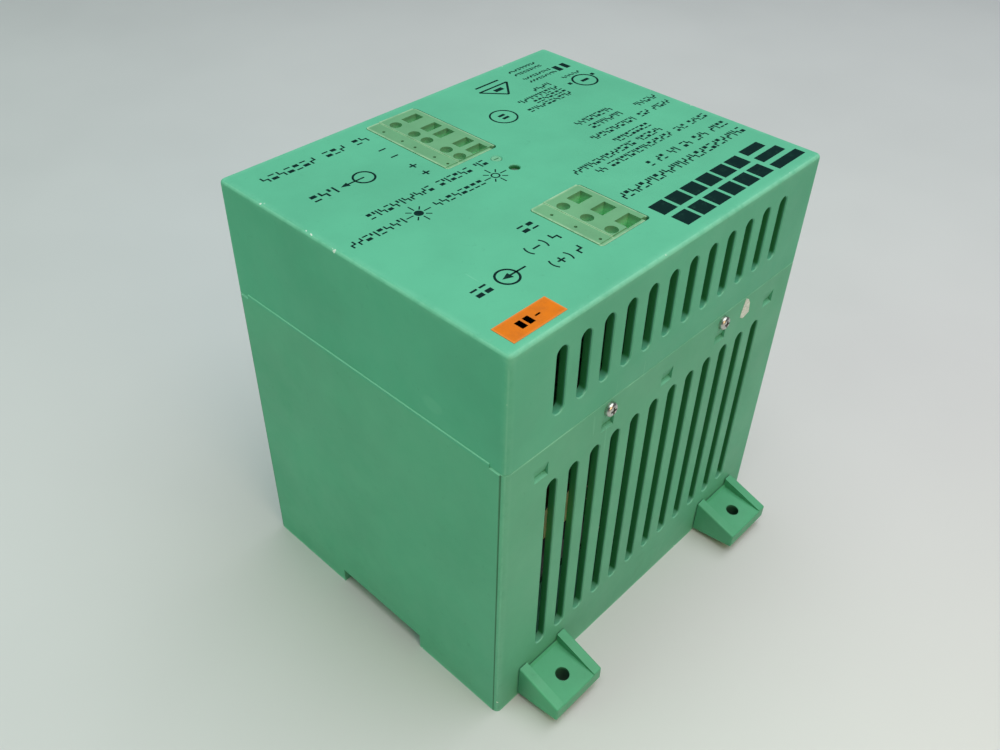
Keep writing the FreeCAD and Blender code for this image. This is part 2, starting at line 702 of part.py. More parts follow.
def terminal_screw(pole):
    """A slotted clamping screw deep in its bore."""
    x = SCREW_BORE_X
    low = TERM_SEAT_Z + TERM_HEAD_GAP
    top = low + TERM_HEAD_H
    head = rod(TERM_HEAD_R, (x, pole, low), (x, pole, top))
    head = head.makeChamfer(0.2, edges_where(head, lambda p: abs(p.z - top) < 1e-6))
    shank = rod(TERM_SHANK_R, (x, pole, TERM_SHANK_LOW_Z), (x, pole, low + 0.5))
    slot = box(around(x, TERM_HEAD_R), around(pole, TERM_SLOT_HALF), (top - TERM_SLOT_DEPTH, top + 1))
    return fuse([head, shank]).cut(slot)


def clamp_half(entry_half):
    """Half the width of a clamping jaw, which passes into the wire's chamber."""
    return entry_half - CLAMP_INSET


def wire_clamp(pole, entry_half):
    """The jaw that a terminal screw drives against the wire."""
    half = clamp_half(entry_half)
    jaw = box(CLAMP_X, around(pole, half), CLAMP_Z)
    x = CLAMP_X[1] + CLAMP_GROOVE_R / 2
    groove = rod(CLAMP_GROOVE_R, (x, pole, CLAMP_Z[0] - 1), (x, pole, CLAMP_Z[1] + 1))
    return jaw.cut(groove)


def trimmer_body():
    """The fixed case of the output voltage trimmer."""
    case = box((TRIM_X - TRIM_REACH, CONTROL_BOARD_X), around(TRIM_Y, TRIM_HALF), TRIM_Z)
    return case.cut(rod(STEM_R + STEM_GAP, (TRIM_X, TRIM_Y, ROTOR_LOW_Z - 0.2), (TRIM_X, TRIM_Y, HEIGHT)))


def trimmer_rotor():
    """The slotted rotor that a small screwdriver turns."""
    stem = rod(STEM_R, (TRIM_X, TRIM_Y, ROTOR_LOW_Z), (TRIM_X, TRIM_Y, TRIM_Z[1] + 0.5))
    knob = rod(KNOB_R, (TRIM_X, TRIM_Y, TRIM_Z[1] + 0.2), (TRIM_X, TRIM_Y, KNOB_TOP_Z))
    slot_z = (KNOB_TOP_Z - KNOB_SLOT_DEPTH, KNOB_TOP_Z + 1)
    slot = box(around(TRIM_X, KNOB_R - 0.5), around(TRIM_Y, KNOB_SLOT_HALF), slot_z)
    return fuse([stem, knob]).cut(slot)


def status_led():
    """A small domed lamp on a stand."""
    body = rod(LED_R, (TRIM_X, LAMP_Y, LED_Z[0]), (TRIM_X, LAMP_Y, LED_Z[1]))
    dome = Part.makeSphere(LED_R, V(TRIM_X, LAMP_Y, LED_Z[1]))
    stand_x = (TRIM_X - LED_STAND_HALF, CONTROL_BOARD_X)
    stand = box(stand_x, around(LAMP_Y, LED_STAND_HALF), (LED_STAND_LOW_Z, LED_Z[0]))
    return fuse([body, dome, stand])


def light_pipe():
    """The clear rod that brings the lamp's light to the front."""
    pipe = rod(LAMP_R, (TRIM_X, LAMP_Y, PIPE_LOW_Z), (TRIM_X, LAMP_Y, HEIGHT - LAMP_RECESS))
    top = HEIGHT - WALL
    flange = rod(PIPE_FLANGE_R, (TRIM_X, LAMP_Y, top - PIPE_FLANGE_T), (TRIM_X, LAMP_Y, top))
    return fuse([pipe, flange])


# ---------------------------------------------------------------- power components

# Places and sizes on the power board, which faces +X, and on the control board, which bears on both faces.
FILM_CAP_X = (POWER_FACE, -29.5)
FILM_CAP_Y = (-45.2, -40.2)
FILM_CAP_Z = (54.3, 66.3)
BULK_CAN_R = 12.5
BULK_CAN_LENGTH = 42.0
BULK_CAN_Y = (-29.0, 1.0)
BULK_CAN_Z = 31.0
OUT_CAN_R = 8.0
OUT_CAN_LENGTH = 32.0
OUT_CAN_Y = (-8.0, 11.0, 30.0)
OUT_CAN_Z = 24.0
CAN_ROUND = 1.2
CAN_BEAD_R = 0.9
CAN_BEAD_OUT = 0.35
CAN_BEAD_X = 3.5
CORE_X = (POWER_FACE + 3, POWER_FACE + 37)
CORE_Y = (6.0, 44.0)
CORE_Z = (50.0, 86.0)
CORE_WINDOWS_Y = ((11.0, 19.0), (31.0, 39.0))
CORE_WINDOW_Z = (57.0, 79.0)
TAPE_GAP = 0.2
TAPE_PROUD = 2.3
TAPE_CORNER_R = 3.0
LINE_CHOKE_AT = (POWER_FACE + 9, 24.0, 99.0)
LINE_CHOKE_RING = (10.0, 5.5, 11.0)
LINE_CHOKE_WIRE = (12, 0.45)
OUT_CHOKE_AT = (CONTROL_BACK + 10, -28.0, 40.0)
OUT_CHOKE_RING = (14.0, 7.5, 13.0)
OUT_CHOKE_WIRE = (14, 0.7)
TURN_GAP = 0.05
BRIDGE_X = (POWER_FACE + 3, POWER_FACE + 23)
BRIDGE_Y = (38.0, 42.0)
BRIDGE_Z = (90.0, 110.0)
BRIDGE_LEGS_Z = (92.0, 97.0, 103.0, 108.0)
FIN_T = 1.6
PRIMARY_SINK_X = (POWER_FACE + 1, POWER_FACE + 40)
PRIMARY_SINK_Y = (-8.0, -5.0)
PRIMARY_SINK_Z = (48.0, 88.0)
OUT_SINK_X = (CONTROL_BACK + 1, CONTROL_BACK + 48)
OUT_SINK_Y = (38.0, 41.0)
OUT_SINK_Z = (44.0, 90.0)
PRIMARY_DEVICE_Z = (58.0, 78.0)
OUT_DEVICE_Z = (58.0, 80.0)
DEVICE_X = (5.0, 21.0)
DEVICE_T = 5.0
DEVICE_HALF = 7.8
DEVICE_HOLE_X = 17.5
DEVICE_HOLE_R = 1.8
DEVICE_LEG_PITCH = 5.0
DEVICE_HEAD_R = 2.9
DEVICE_HEAD_H = 2.0
DEVICE_SHANK_R = 1.5
FUSE_X = POWER_FACE + 6
FUSE_Y = (-42.0, -22.0)
FUSE_Z = 104.0
FUSE_TUBE_R = 2.3
FUSE_CAP_R = 2.6
FUSE_CAP_LENGTH = 5.0
CLIP_LENGTH = 3.0
CLIP_HALF = 3.1
CLIP_BED_HALF = 2.1
VARISTOR_AT = (POWER_FACE + 11, -14.0, 99.0)
VARISTOR_R = 7.0
VARISTOR_T = 4.5
VARISTOR_LEG_X = POWER_FACE + 6
VARISTOR_LEG_Y = -11.8
VARISTOR_LEGS_Z = (95.5, 102.5)
CHIP_Y = -24.0
CHIP_Z = (60.0, 79.0)
CHIP_HALF = 3.2
CHIP_T = 4.0
COUPLER_Y = (-8.0, 4.0)
COUPLER_Z = (62.0, 70.0)
COUPLER_HALF = 3.3
COUPLER_T = 4.5
LINK_Y = (24.0, 29.0, 34.0)
LINK_Z = 20.0
LINK_R = 0.9


def film_capacitor():
    """The boxed capacitor across the mains, just inside the near vents."""
    case = box(FILM_CAP_X, FILM_CAP_Y, FILM_CAP_Z)
    return case.makeFillet(0.6, case.Edges)


def can(radius, length, y, z, board_x):
    """An electrolytic capacitor standing on a board, along X."""
    end = board_x + length
    body = rod(radius, (board_x, y, z), (end, y, z))
    body = body.makeFillet(CAN_ROUND, edges_where(body, lambda p: abs(p.x - end) < 1e-6))
    bead = Part.makeTorus(radius + CAN_BEAD_OUT, CAN_BEAD_R, V(board_x + CAN_BEAD_X, y, z), V(1, 0, 0))
    return body.cut(bead)


def bulk_capacitors():
    """The two mains storage capacitors."""
    cans = [can(BULK_CAN_R, BULK_CAN_LENGTH, y, BULK_CAN_Z, POWER_FACE) for y in BULK_CAN_Y]
    return Part.makeCompound(cans)


def output_capacitors():
    """The three output storage capacitors."""
    cans = [can(OUT_CAN_R, OUT_CAN_LENGTH, y, OUT_CAN_Z, CONTROL_BACK) for y in OUT_CAN_Y]
    return Part.makeCompound(cans)


def transformer_core():
    """The ferrite core, two halves round the winding."""
    outer = box(CORE_X, CORE_Y, CORE_Z)
    through = (CORE_X[0] - 1, CORE_X[1] + 1)
    return cut(outer, [box(through, y, CORE_WINDOW_Z) for y in CORE_WINDOWS_Y])


def transformer_winding():
    """The taped winding on its bobbin, through the core's windows."""
    x = (CORE_X[0] - TAPE_PROUD, CORE_X[1] + TAPE_PROUD)
    y = (CORE_WINDOWS_Y[0][0] + TAPE_GAP, CORE_WINDOWS_Y[1][1] - TAPE_GAP)
    z = (CORE_WINDOW_Z[0] + TAPE_GAP, CORE_WINDOW_Z[1] - TAPE_GAP)
    leg = box(CORE_X, (CORE_WINDOWS_Y[0][1], CORE_WINDOWS_Y[1][0]), CORE_WINDOW_Z)
    return rounded_box(x, y, z, TAPE_CORNER_R).cut(leg)


def choke_core(centre, ring):
    """The powdered iron ring of a choke, with its axis along X."""
    outer, inner, height = ring
    x, y, z = centre
    start, end = (x - height / 2, y, z), (x + height / 2, y, z)
    return rod(outer, start, end).cut(rod(inner, start, end))


def choke_winding(centre, ring, wire):
    """Separate square turns of wire round a choke's ring."""
    outer, inner, height = ring
    turns, wire_r = wire
    half_x = height / 2 + wire_r + TURN_GAP
    half_z = (outer - inner) / 2 + wire_r + TURN_GAP
    loops = []
    for i in range(turns):
        loop = box(around(0, half_x + wire_r), around(0, wire_r), around(0, half_z + wire_r))
        loop = loop.cut(box(around(0, half_x - wire_r), around(0, wire_r + 1), around(0, half_z - wire_r)))
        loop.translate(V(0, 0, (outer + inner) / 2))
        loop.rotate(V(0, 0, 0), V(1, 0, 0), 360 * i / turns)
        loop.translate(V(*centre))
        loops.append(loop)
    return Part.makeCompound(loops)


def bridge_rectifier():
    """The flat bridge that turns mains into direct current."""
    body = box(BRIDGE_X, BRIDGE_Y, BRIDGE_Z)
    middle = (BRIDGE_Y[0] + BRIDGE_Y[1]) / 2
    leg_x = (POWER_FACE, BRIDGE_X[0] + 1)
    return fuse([body] + [box(leg_x, around(middle, 0.4), around(z, 0.5)) for z in BRIDGE_LEGS_Z])


def finned_plate(x, y, z, fins, reach):
    """A heatsink: a plate across Y with fins on its +Y face."""
    pitch = (x[1] - x[0] - FIN_T) / (fins - 1)
    starts = [x[0] + i * pitch for i in range(fins)]
    combs = [box((start, start + FIN_T), (y[1] - 0.2, y[1] + reach), z) for start in starts]
    return fuse([box(x, y, z)] + combs)


def primary_heatsink():
    """The heatsink of the mains-side transistors."""
    return finned_plate(PRIMARY_SINK_X, PRIMARY_SINK_Y, PRIMARY_SINK_Z, 6, 6)


def output_heatsink():
    """The heatsink of the output diodes."""
    return finned_plate(OUT_SINK_X, OUT_SINK_Y, OUT_SINK_Z, 7, 5)


def flat_device(board_x, back_y, z):
    """A three-leg power device lying against a heatsink's -Y face."""
    front_y = back_y - DEVICE_T
    body = box((board_x + DEVICE_X[0], board_x + DEVICE_X[1]), (front_y, back_y), around(z, DEVICE_HALF))
    hole_x = board_x + DEVICE_HOLE_X
    body = body.cut(rod(DEVICE_HOLE_R, (hole_x, front_y - 1, z), (hole_x, back_y + 1, z)))
    leg_x = (board_x, board_x + DEVICE_X[0] + 0.2)
    leg_y = around(back_y - DEVICE_T / 2, 0.35)
    legs = [box(leg_x, leg_y, around(z + i * DEVICE_LEG_PITCH, 0.6)) for i in (-1, 0, 1)]
    return fuse([body] + legs)


def device_screw(board_x, back_y, z):
    """A small screw that holds a power device on its heatsink."""
    x = board_x + DEVICE_HOLE_X
    seat = back_y - DEVICE_T
    face = seat - DEVICE_HEAD_H
    head = rod(DEVICE_HEAD_R, (x, face, z), (x, seat, z))
    shank = rod(DEVICE_SHANK_R, (x, seat - 0.5, z), (x, back_y, z))
    slot = box(around(x, DEVICE_HEAD_R), (face - 1, face + 0.8), around(z, 0.4))
    return fuse([head, shank]).cut(slot)


def primary_places():
    """Where the mains-side transistors sit: the board's face, the heatsink's face and the height."""
    return [(POWER_FACE, PRIMARY_SINK_Y[0], z) for z in PRIMARY_DEVICE_Z]


def output_places():
    """Where the output diodes sit, in the same terms."""
    return [(CONTROL_BACK, OUT_SINK_Y[0], z) for z in OUT_DEVICE_Z]


def switching_transistors():
    """The two mains-side transistors."""
    return Part.makeCompound([flat_device(*place) for place in primary_places()])


def output_rectifiers():
    """The two output diodes."""
    return Part.makeCompound([flat_device(*place) for place in output_places()])


def device_screws():
    """The four screws of the power devices."""
    return Part.makeCompound([device_screw(*place) for place in primary_places() + output_places()])


def mains_fuse():
    """The fuse, a tube with a cap at each end."""
    start, end = FUSE_Y
    tube = rod(FUSE_TUBE_R, (FUSE_X, start + 1, FUSE_Z), (FUSE_X, end - 1, FUSE_Z))
    caps = [rod(FUSE_CAP_R, (FUSE_X, y, FUSE_Z), (FUSE_X, y + FUSE_CAP_LENGTH, FUSE_Z))
            for y in (start, end - FUSE_CAP_LENGTH)]
    return fuse([tube] + caps)


def fuse_clips():
    """The two spring clips that hold the fuse."""
    clips = []
    for y in (FUSE_Y[0] + 1, FUSE_Y[1] - 1 - CLIP_LENGTH):
        through = (y - 1, y + CLIP_LENGTH + 1)
        block = box((POWER_FACE, FUSE_X + 2.5), (y, y + CLIP_LENGTH), around(FUSE_Z, CLIP_HALF))
        gap = box((POWER_FACE + 1, FUSE_X + 3), through, around(FUSE_Z, CLIP_BED_HALF))
        bed = rod(FUSE_CAP_R, (FUSE_X, through[0], FUSE_Z), (FUSE_X, through[1], FUSE_Z))
        clips.append(cut(block, [gap, bed]))
    return Part.makeCompound(clips)


def varistor():
    """The disc that absorbs mains surges."""
    x, y, z = VARISTOR_AT
    disc = rod(VARISTOR_R, VARISTOR_AT, (x, y + VARISTOR_T, z))
    disc = disc.makeFillet(1.5, disc.Edges[:1] + disc.Edges[2:])
    legs = [rod(0.4, (POWER_FACE, VARISTOR_LEG_Y, leg_z), (VARISTOR_LEG_X, VARISTOR_LEG_Y, leg_z))
            for leg_z in VARISTOR_LEGS_Z]
    return fuse([disc] + legs)


def controller_chips():
    """The control circuit and two optocouplers on the control board."""
    x = CONTROL_BOARD_X
    main = box((x - CHIP_T, x), around(CHIP_Y, CHIP_HALF), CHIP_Z)
    couplers = [box((x - COUPLER_T, x), around(y, COUPLER_HALF), COUPLER_Z) for y in COUPLER_Y]
    return Part.makeCompound([main] + couplers)


def link_wires():
    """The stiff insulated wires between the two boards."""
    wires = [rod(LINK_R, (POWER_FACE, y, LINK_Z), (CONTROL_BOARD_X, y, LINK_Z)) for y in LINK_Y]
    return Part.makeCompound(wires)


# ---------------------------------------------------------------- all nodes


def build_housing():
    save("base_housing", base_housing())
    save("front_cover", front_cover())
    save("housing_screws", housing_screws())
    save("marker_label", marker_label())
    for side, word in ((-1, "left"), (1, "right")):
        save("rail_foot_" + word, rail_foot(side))
        save("foot_spring_" + word, foot_spring(side))


def build_terminals():
    save("input_header", header(IN_PLUG_Y, IN_POLES))
    save("output_header", header(OUT_PLUG_Y, OUT_POLES))
    save("header_pins", Part.makeCompound([header_pin(p) for p in IN_POLES + OUT_POLES]))
    plugs = (("input", IN_PLUG_Y, IN_POLES, IN_ENTRY_HALF), ("output", OUT_PLUG_Y, OUT_POLES, OUT_ENTRY_HALF))
    for word, plug_y, poles, entry_half in plugs:
        save(word + "_plug_housing", plug_housing(plug_y, poles, entry_half))
        save(word + "_plug_base", plug_base(plug_y, poles))
        save(word + "_contacts", plug_contacts(poles))
        for number, pole in enumerate(poles, 1):
            save("%s_screw_%d" % (word, number), terminal_screw(pole))
            save("%s_clamp_%d" % (word, number), wire_clamp(pole, entry_half))
    save("trimmer_body", trimmer_body())
    save("trimmer_rotor", trimmer_rotor())
    save("status_led", status_led())
    save("light_pipe", light_pipe())


def build_electronics():
    save("power_board", power_board())
    save("control_board", control_board())
    save("film_capacitor", film_capacitor())
    save("bulk_capacitors", bulk_capacitors())
    save("output_capacitors", output_capacitors())
    save("transformer_core", transformer_core())
    save("transformer_winding", transformer_winding())
    save("line_choke_core", choke_core(LINE_CHOKE_AT, LINE_CHOKE_RING))
    save("line_choke_winding", choke_winding(LINE_CHOKE_AT, LINE_CHOKE_RING, LINE_CHOKE_WIRE))
    save("output_choke_core", choke_core(OUT_CHOKE_AT, OUT_CHOKE_RING))
    save("output_choke_winding", choke_winding(OUT_CHOKE_AT, OUT_CHOKE_RING, OUT_CHOKE_WIRE))
    save("bridge_rectifier", bridge_rectifier())
    save("primary_heatsink", primary_heatsink())
    save("output_heatsink", output_heatsink())
    save("switching_transistors", switching_transistors())
    save("output_rectifiers", output_rectifiers())
    save("device_screws", device_screws())
    save("mains_fuse", mains_fuse())
    save("fuse_clips", fuse_clips())
    save("varistor", varistor())
    save("controller_chips", controller_chips())
    save("link_wires", link_wires())


os.makedirs("parts", exist_ok=True)
build_housing()
build_terminals()
build_electronics()
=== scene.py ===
import json
import math
import random

import bmesh
import bpy
from mathutils import Matrix, Vector


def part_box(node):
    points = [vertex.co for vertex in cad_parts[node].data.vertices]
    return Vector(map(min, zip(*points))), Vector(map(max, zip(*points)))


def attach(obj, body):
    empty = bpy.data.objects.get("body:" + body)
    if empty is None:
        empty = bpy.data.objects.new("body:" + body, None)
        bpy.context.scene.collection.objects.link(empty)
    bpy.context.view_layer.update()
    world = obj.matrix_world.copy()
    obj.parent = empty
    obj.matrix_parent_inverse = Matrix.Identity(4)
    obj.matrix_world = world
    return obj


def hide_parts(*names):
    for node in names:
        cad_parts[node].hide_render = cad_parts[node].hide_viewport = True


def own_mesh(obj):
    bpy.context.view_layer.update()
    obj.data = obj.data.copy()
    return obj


MM = 0.001

# Camera, in millimetres and degrees.
CAMERA_AT = (-175.2, -150.6, 255.0)
CAMERA_AIM = (-10.1, 0.6, 66.0)
CAMERA_ROLL = 1.63
CAMERA_LENS = 35.0

# Colours, as linear red, green and blue.
GREEN = (0.106, 0.452, 0.286)
GREEN_BASE = (0.122, 0.443, 0.277)
GREEN_PALE = (0.260, 0.660, 0.470)
# The dark green of the dust, also used for the painted shade where the side panels start.
GREEN_DIRT_AND_SHADE = (0.055, 0.190, 0.110)
# The painted shade colour on the walls of openings.
GREEN_SHADE = (0.030, 0.240, 0.078)
FOOT = (0.080, 0.395, 0.208)
FLECK = (0.700, 0.800, 0.740)
TERMINAL = (0.142, 0.372, 0.196)
TERMINAL_PALE = (0.420, 0.640, 0.420)
ORANGE = (0.680, 0.174, 0.0016)
INK = (0.0030, 0.0200, 0.0190)

# How far the seam lies below the top of the base's side tabs, and how far in from the
# corners the raised side panels start, in metres.
SEAM_DROP = 0.001
PANEL_START = 0.0016

# How far the middles of the latch pockets lie below the seam, and the X of the stretch of
# the seam where its pale line is gone, in metres.
POCKETS_BELOW = 0.0077
LINE_GONE_X = -0.0310

# How deep the back is, with the rail channel and the feet's tunnels in it, in metres.
BACK_DEPTH = 0.0088

# How far in from a foot's outer end its hole is, in metres.
FOOT_HOLE_IN = 0.0067

# The radius of that hole, how softly it fades at its rim, and the heights between which the
# shade in it ends, in metres.
FOOT_HOLE_R = 0.00212
FOOT_HOLE_FADE = 0.00008
FOOT_HOLE_Z = (0.0075, 0.0095)

# The width of the test strip along the low X edge of each plug's face, in metres.
STRIP_W = 0.0049

# How far rubbing reaches in from the housing's edges, broadly and closely, and how far the
# flecks do, in metres.
BROAD_RUB = 0.0028
CLOSE_RUB = 0.0013
FLECK_REACH = 0.0018

# How far in from the housing's outside some things begin and end, in metres: the painted highlight on the
# bevels, the pale seam line of painted highlight, the painted shade on the walls of openings and the
# painted dark inside.
BEVEL_DEPTH = (0.0004, 0.0007)
LINE_DEPTH = (0.0004, 0.0008)
SHADE_DEPTH = (0.0003, 0.0008)
INSIDE_DEPTH = (0.0021, 0.0026)

# How much later the shade begins in the pockets, and where it fades out towards the side
# panels, as a distance from the middle, in metres.
POCKET_SHIFT = 0.0005
SHADE_END_X = (0.0580, 0.0600)

# How dark the painted shade inside is, and how much painted light brightens the plugs' plastic deep in its
# holes.
INSIDE_SHADE = 0.25
PAINTED_HOLE_LIGHT = 2.3

# The springs' wire and turns, with lengths in millimetres.
SPRING_WIRE_R = 0.25
SPRING_TURNS = 9
SPRING_STEPS = 20
CLOSED_TURNS = 0.8
CLOSED_SHARE = 0.04

# Half the floor's width, in metres.
FLOOR_HALF = 4.0

# How far printed and stuck-on things stand out, in millimetres.
INK_T = 0.03
SCRAP_T = 0.12


# ---------------------------------------------------------------- shader helpers


class Shade:
    """A material and short ways to add nodes to it."""

    def __init__(self, name, **sockets):
        self.material = bpy.data.materials.new(name)
        self.material.use_nodes = True
        self.tree = self.material.node_tree
        self.surface = self.tree.nodes["Principled BSDF"]
        for key, value in sockets.items():
            self.set(self.surface, key.replace("_", " "), value)
        self.place = self.add("ShaderNodeTexCoord").outputs["Object"]

    def add(self, kind, **settings):
        node = self.tree.nodes.new(kind)
        for key, value in settings.items():
            setattr(node, key, value)
        return node

    def set(self, node, key, value):
        """Links an output to an input, or sets the input to a value."""
        socket = node.inputs[key]
        if isinstance(value, bpy.types.NodeSocket):
            self.tree.links.new(value, socket)
        elif isinstance(value, tuple) and socket.type == "RGBA":
            socket.default_value = (*value, 1.0)
        else:
            socket.default_value = value

    def math(self, operation, a, b=0.0, clamp=False):
        node = self.add("ShaderNodeMath", operation=operation, use_clamp=clamp)
        self.set(node, 0, a)
        self.set(node, 1, b)
        return node.outputs[0]

    def product(self, *values):
        """All the values multiplied together."""
        result = values[0]
        for value in values[1:]:
            result = self.math("MULTIPLY", result, value)
        return result

    def largest(self, *values):
        """The largest of the values."""
        result = values[0]
        for value in values[1:]:
            result = self.math("MAXIMUM", result, value)
        return result

    def axis(self, name):
        node = self.add("ShaderNodeSeparateXYZ")
        self.set(node, 0, self.place)
        return node.outputs[name]

    def stretched(self, scale):
        """The place, scaled differently along each axis."""
        node = self.add("ShaderNodeMapping")
        self.set(node, "Vector", self.place)
        self.set(node, "Scale", scale)
        return node.outputs[0]

    def noise(self, per_m, detail=2.0, rough=0.5, place=None):
        node = self.add("ShaderNodeTexNoise")
        self.set(node, "Vector", place or self.place)
        self.set(node, "Scale", per_m)
        self.set(node, "Detail", detail)
        self.set(node, "Roughness", rough)
        return node.outputs["Fac"]

    def ramp(self, value, low, high, out_low=0.0, out_high=1.0):
        node = self.add("ShaderNodeMapRange", interpolation_type="SMOOTHSTEP")
        limits = {"From Min": low, "From Max": high, "To Min": out_low, "To Max": out_high}
        for key, number in limits.items():
            self.set(node, key, number)
        self.set(node, "Value", value)
        return node.outputs[0]

    def mix(self, factor, a, b):
        node = self.add("ShaderNodeMix", data_type="RGBA")
        for socket, value in ((node.inputs[0], factor), (node.inputs[6], a), (node.inputs[7], b)):
            if isinstance(value, bpy.types.NodeSocket):
                self.tree.links.new(value, socket)
            else:
                socket.default_value = (*value, 1.0) if isinstance(value, tuple) else value
        return node.outputs[2]

    def scaled(self, colour, factor):
        """The colour times a number."""
        node = self.add("ShaderNodeVectorMath", operation="SCALE")
        self.set(node, 0, colour)
        self.set(node, "Scale", factor)
        return node.outputs[0]

    def bump(self, height, distance_mm, strength=1.0, under=None):
        node = self.add("ShaderNodeBump")
        self.set(node, "Height", height)
        self.set(node, "Distance", distance_mm * MM)
        self.set(node, "Strength", strength)
        if under:
            self.set(node, "Normal", under)
        return node.outputs[0]

    def finish(self, colour, rough, normal=None):
        self.set(self.surface, "Base Color", colour)
        self.set(self.surface, "Roughness", rough)
        if normal:
            self.set(self.surface, "Normal", normal)
        return self.material


def shade(colour, factor):
    """The colour made darker or lighter."""
    return tuple(channel * factor for channel in colour)


# ---------------------------------------------------------------- materials


def near_planes(s, axis, places, reach, full=0.0, far_value=0.0, near_value=1.0):
    """1 close to any of some planes across an axis, 0 elsewhere, or other values for close and far."""
    value = s.axis(axis)
    nearest = None
    for place in places:
        gap = s.math("ABSOLUTE", s.math("SUBTRACT", value, place))
        nearest = s.math("MINIMUM", nearest, gap) if nearest else gap
    return s.ramp(nearest, full, reach, near_value, far_value)


def near_edges(s, boxes, reach):
    """1 close to the edges of some boxes, 0 elsewhere: an edge is where two faces are near."""
    near = []
    for axis in range(3):
        places = sorted({round(corner[axis], 6) for box in boxes for corner in box})
        near.append(near_planes(s, "XYZ"[axis], places, reach))
    pairs = [s.math("MULTIPLY", near[a], near[b]) for a, b in ((0, 1), (1, 2), (0, 2))]
    return s.math("ADD", s.math("ADD", pairs[0], pairs[1]), pairs[2], clamp=True)


def inward_depth(s, low, high):
    """How far in from the nearest wall of a box, for the four upright walls and the top."""
    depths = [s.math("SUBTRACT", high.z, s.axis("Z"))]
    for axis in range(2):
        value = s.axis("XY"[axis])
        depths.append(s.math("SUBTRACT", value, low[axis]))
        depths.append(s.math("SUBTRACT", high[axis], value))
    nearest = depths[0]
    for depth in depths[1:]:
        nearest = s.math("MINIMUM", nearest, depth)
    return nearest


def upward(s):
    """How far a surface faces up: 1 for level, 0 for upright."""
    split = s.add("ShaderNodeSeparateXYZ")
    s.set(split, 0, s.add("ShaderNodeTexCoord").outputs["Normal"])
    return split.outputs["Z"]


def edge_wear_and_highlight(s, low, high):
    """How far the housing's edges are rubbed: broadly in blotches, and closely at the corners, where the
    thin pale line is also a painted highlight.
    """
    blotch = s.ramp(s.noise(170.0, 4.0, 0.7), 0.28, 0.62, 0.0, 0.28)
    broad = s.product(near_edges(s, [(low, high)], BROAD_RUB), blotch)
    # Thin pale line close to every edge: rubbed wear and painted highlight.
    corner = s.ramp(near_edges(s, [(low, high)], CLOSE_RUB), 0.10, 0.45, 0.0, 0.55)
    patchy = s.ramp(s.noise(260.0, 4.0, 0.7), 0.25, 0.60, 0.35, 1.0)
    return s.largest(broad, s.product(corner, patchy))


def highlight_on_bevels(s, high, depth, up):
    """Painted highlight on the bevels that face up, weaker at the top."""
    tilted = s.product(s.ramp(up, 0.30, 0.60), s.ramp(up, 0.80, 0.95, 1.0, 0.0))
    outside = s.ramp(depth, *BEVEL_DEPTH, 0.50, 0.0)
    below_top = s.ramp(s.axis("Z"), high.z - 0.0016, high.z - 0.0011, 1.0, 0.15)
    return s.product(tilted, outside, below_top)


def seam_highlight(s, low, high, seam, depth):
    """The pale, broken line of painted highlight along the seam, on the two long sides only."""
    gap = s.math("ABSOLUTE", s.math("SUBTRACT", s.axis("Z"), seam - 0.0002))
    # Painted highlight: a pale band just under the seam.
    line = s.ramp(gap, 0.0001, 0.0004, 0.85, 0.0)
    broken = s.ramp(s.noise(55.0, 3.0, 0.6), 0.42, 0.58)
    outside = s.ramp(depth, *LINE_DEPTH, 1.0, 0.0)
    long_sides = near_planes(s, "Y", (low.y, high.y), 0.0050, 0.0042)
    kept = near_planes(s, "X", (LINE_GONE_X,), 0.0095, 0.0055, 1.0, 0.1)
    return s.product(line, broken, outside, long_sides, kept)


def housing_wear_and_highlights(s, low, high, seam, depth, up):
    """How far the surface is paled: rubbed wear on the edges, and painted highlights on ledges, up-facing
    bevels and along the seam.
    """
    bevel_highlight = highlight_on_bevels(s, high, depth, up)
    # Painted highlight along the sloping top edge of the side panels.
    ledge_highlight = s.product(near_planes(s, "X", (low.x, -low.x), 0.0004, 0.0003), bevel_highlight, 1.7)
    # This holds rubbed wear on the edges together with the painted highlights.
    wear = s.largest(edge_wear_and_highlight(s, low, high), bevel_highlight, seam_highlight(s, low, high, seam, depth), ledge_highlight)
    return s.math("MINIMUM", wear, 0.85)


def housing_colour(s, seam):
    """The greens of the two shells, clouded, specked and dusty towards the back."""
    green = s.mix(s.ramp(s.axis("Z"), seam - 0.0001, seam + 0.0001), GREEN_BASE, GREEN)
    cloud = s.ramp(s.noise(28.0, 4.0, 0.6), 0.30, 0.70, 0.94, 1.05)
    speck = s.ramp(s.noise(420.0, 3.0, 0.7), 0.62, 0.78, 1.0, 0.90)
    dust = s.ramp(s.noise(60.0, 6.0, 0.72), 0.50, 0.82, 0.0, 0.30)
    low_down = s.ramp(s.axis("Z"), 0.0, 0.030, 1.0, 0.25)
    return s.mix(s.product(dust, low_down), s.scaled(green, s.product(cloud, speck)), GREEN_DIRT_AND_SHADE)


def panel_step(s, low, high, seam):
    """The thin dark line of painted shade where the raised side panels start, below the seam."""
    edge = near_planes(s, "Y", (low.y + PANEL_START, high.y - PANEL_START), 0.0003, 0.0001)
    on_side = near_planes(s, "X", (low.x, -low.x), 0.0006, 0.0004)
    below_seam = s.ramp(s.axis("Z"), seam - 0.0006, seam - 0.0002, 0.75, 0.0)
    return s.product(edge, on_side, below_seam)


def scratches(s):
    """Sparse fine scratches, in patches."""
    lines = s.ramp(s.noise(1.0, 1.0, 0.3, s.stretched((900.0, 55.0, 70.0))), 0.735, 0.775)
    return s.product(lines, s.ramp(s.noise(22.0, 2.0), 0.52, 0.66))


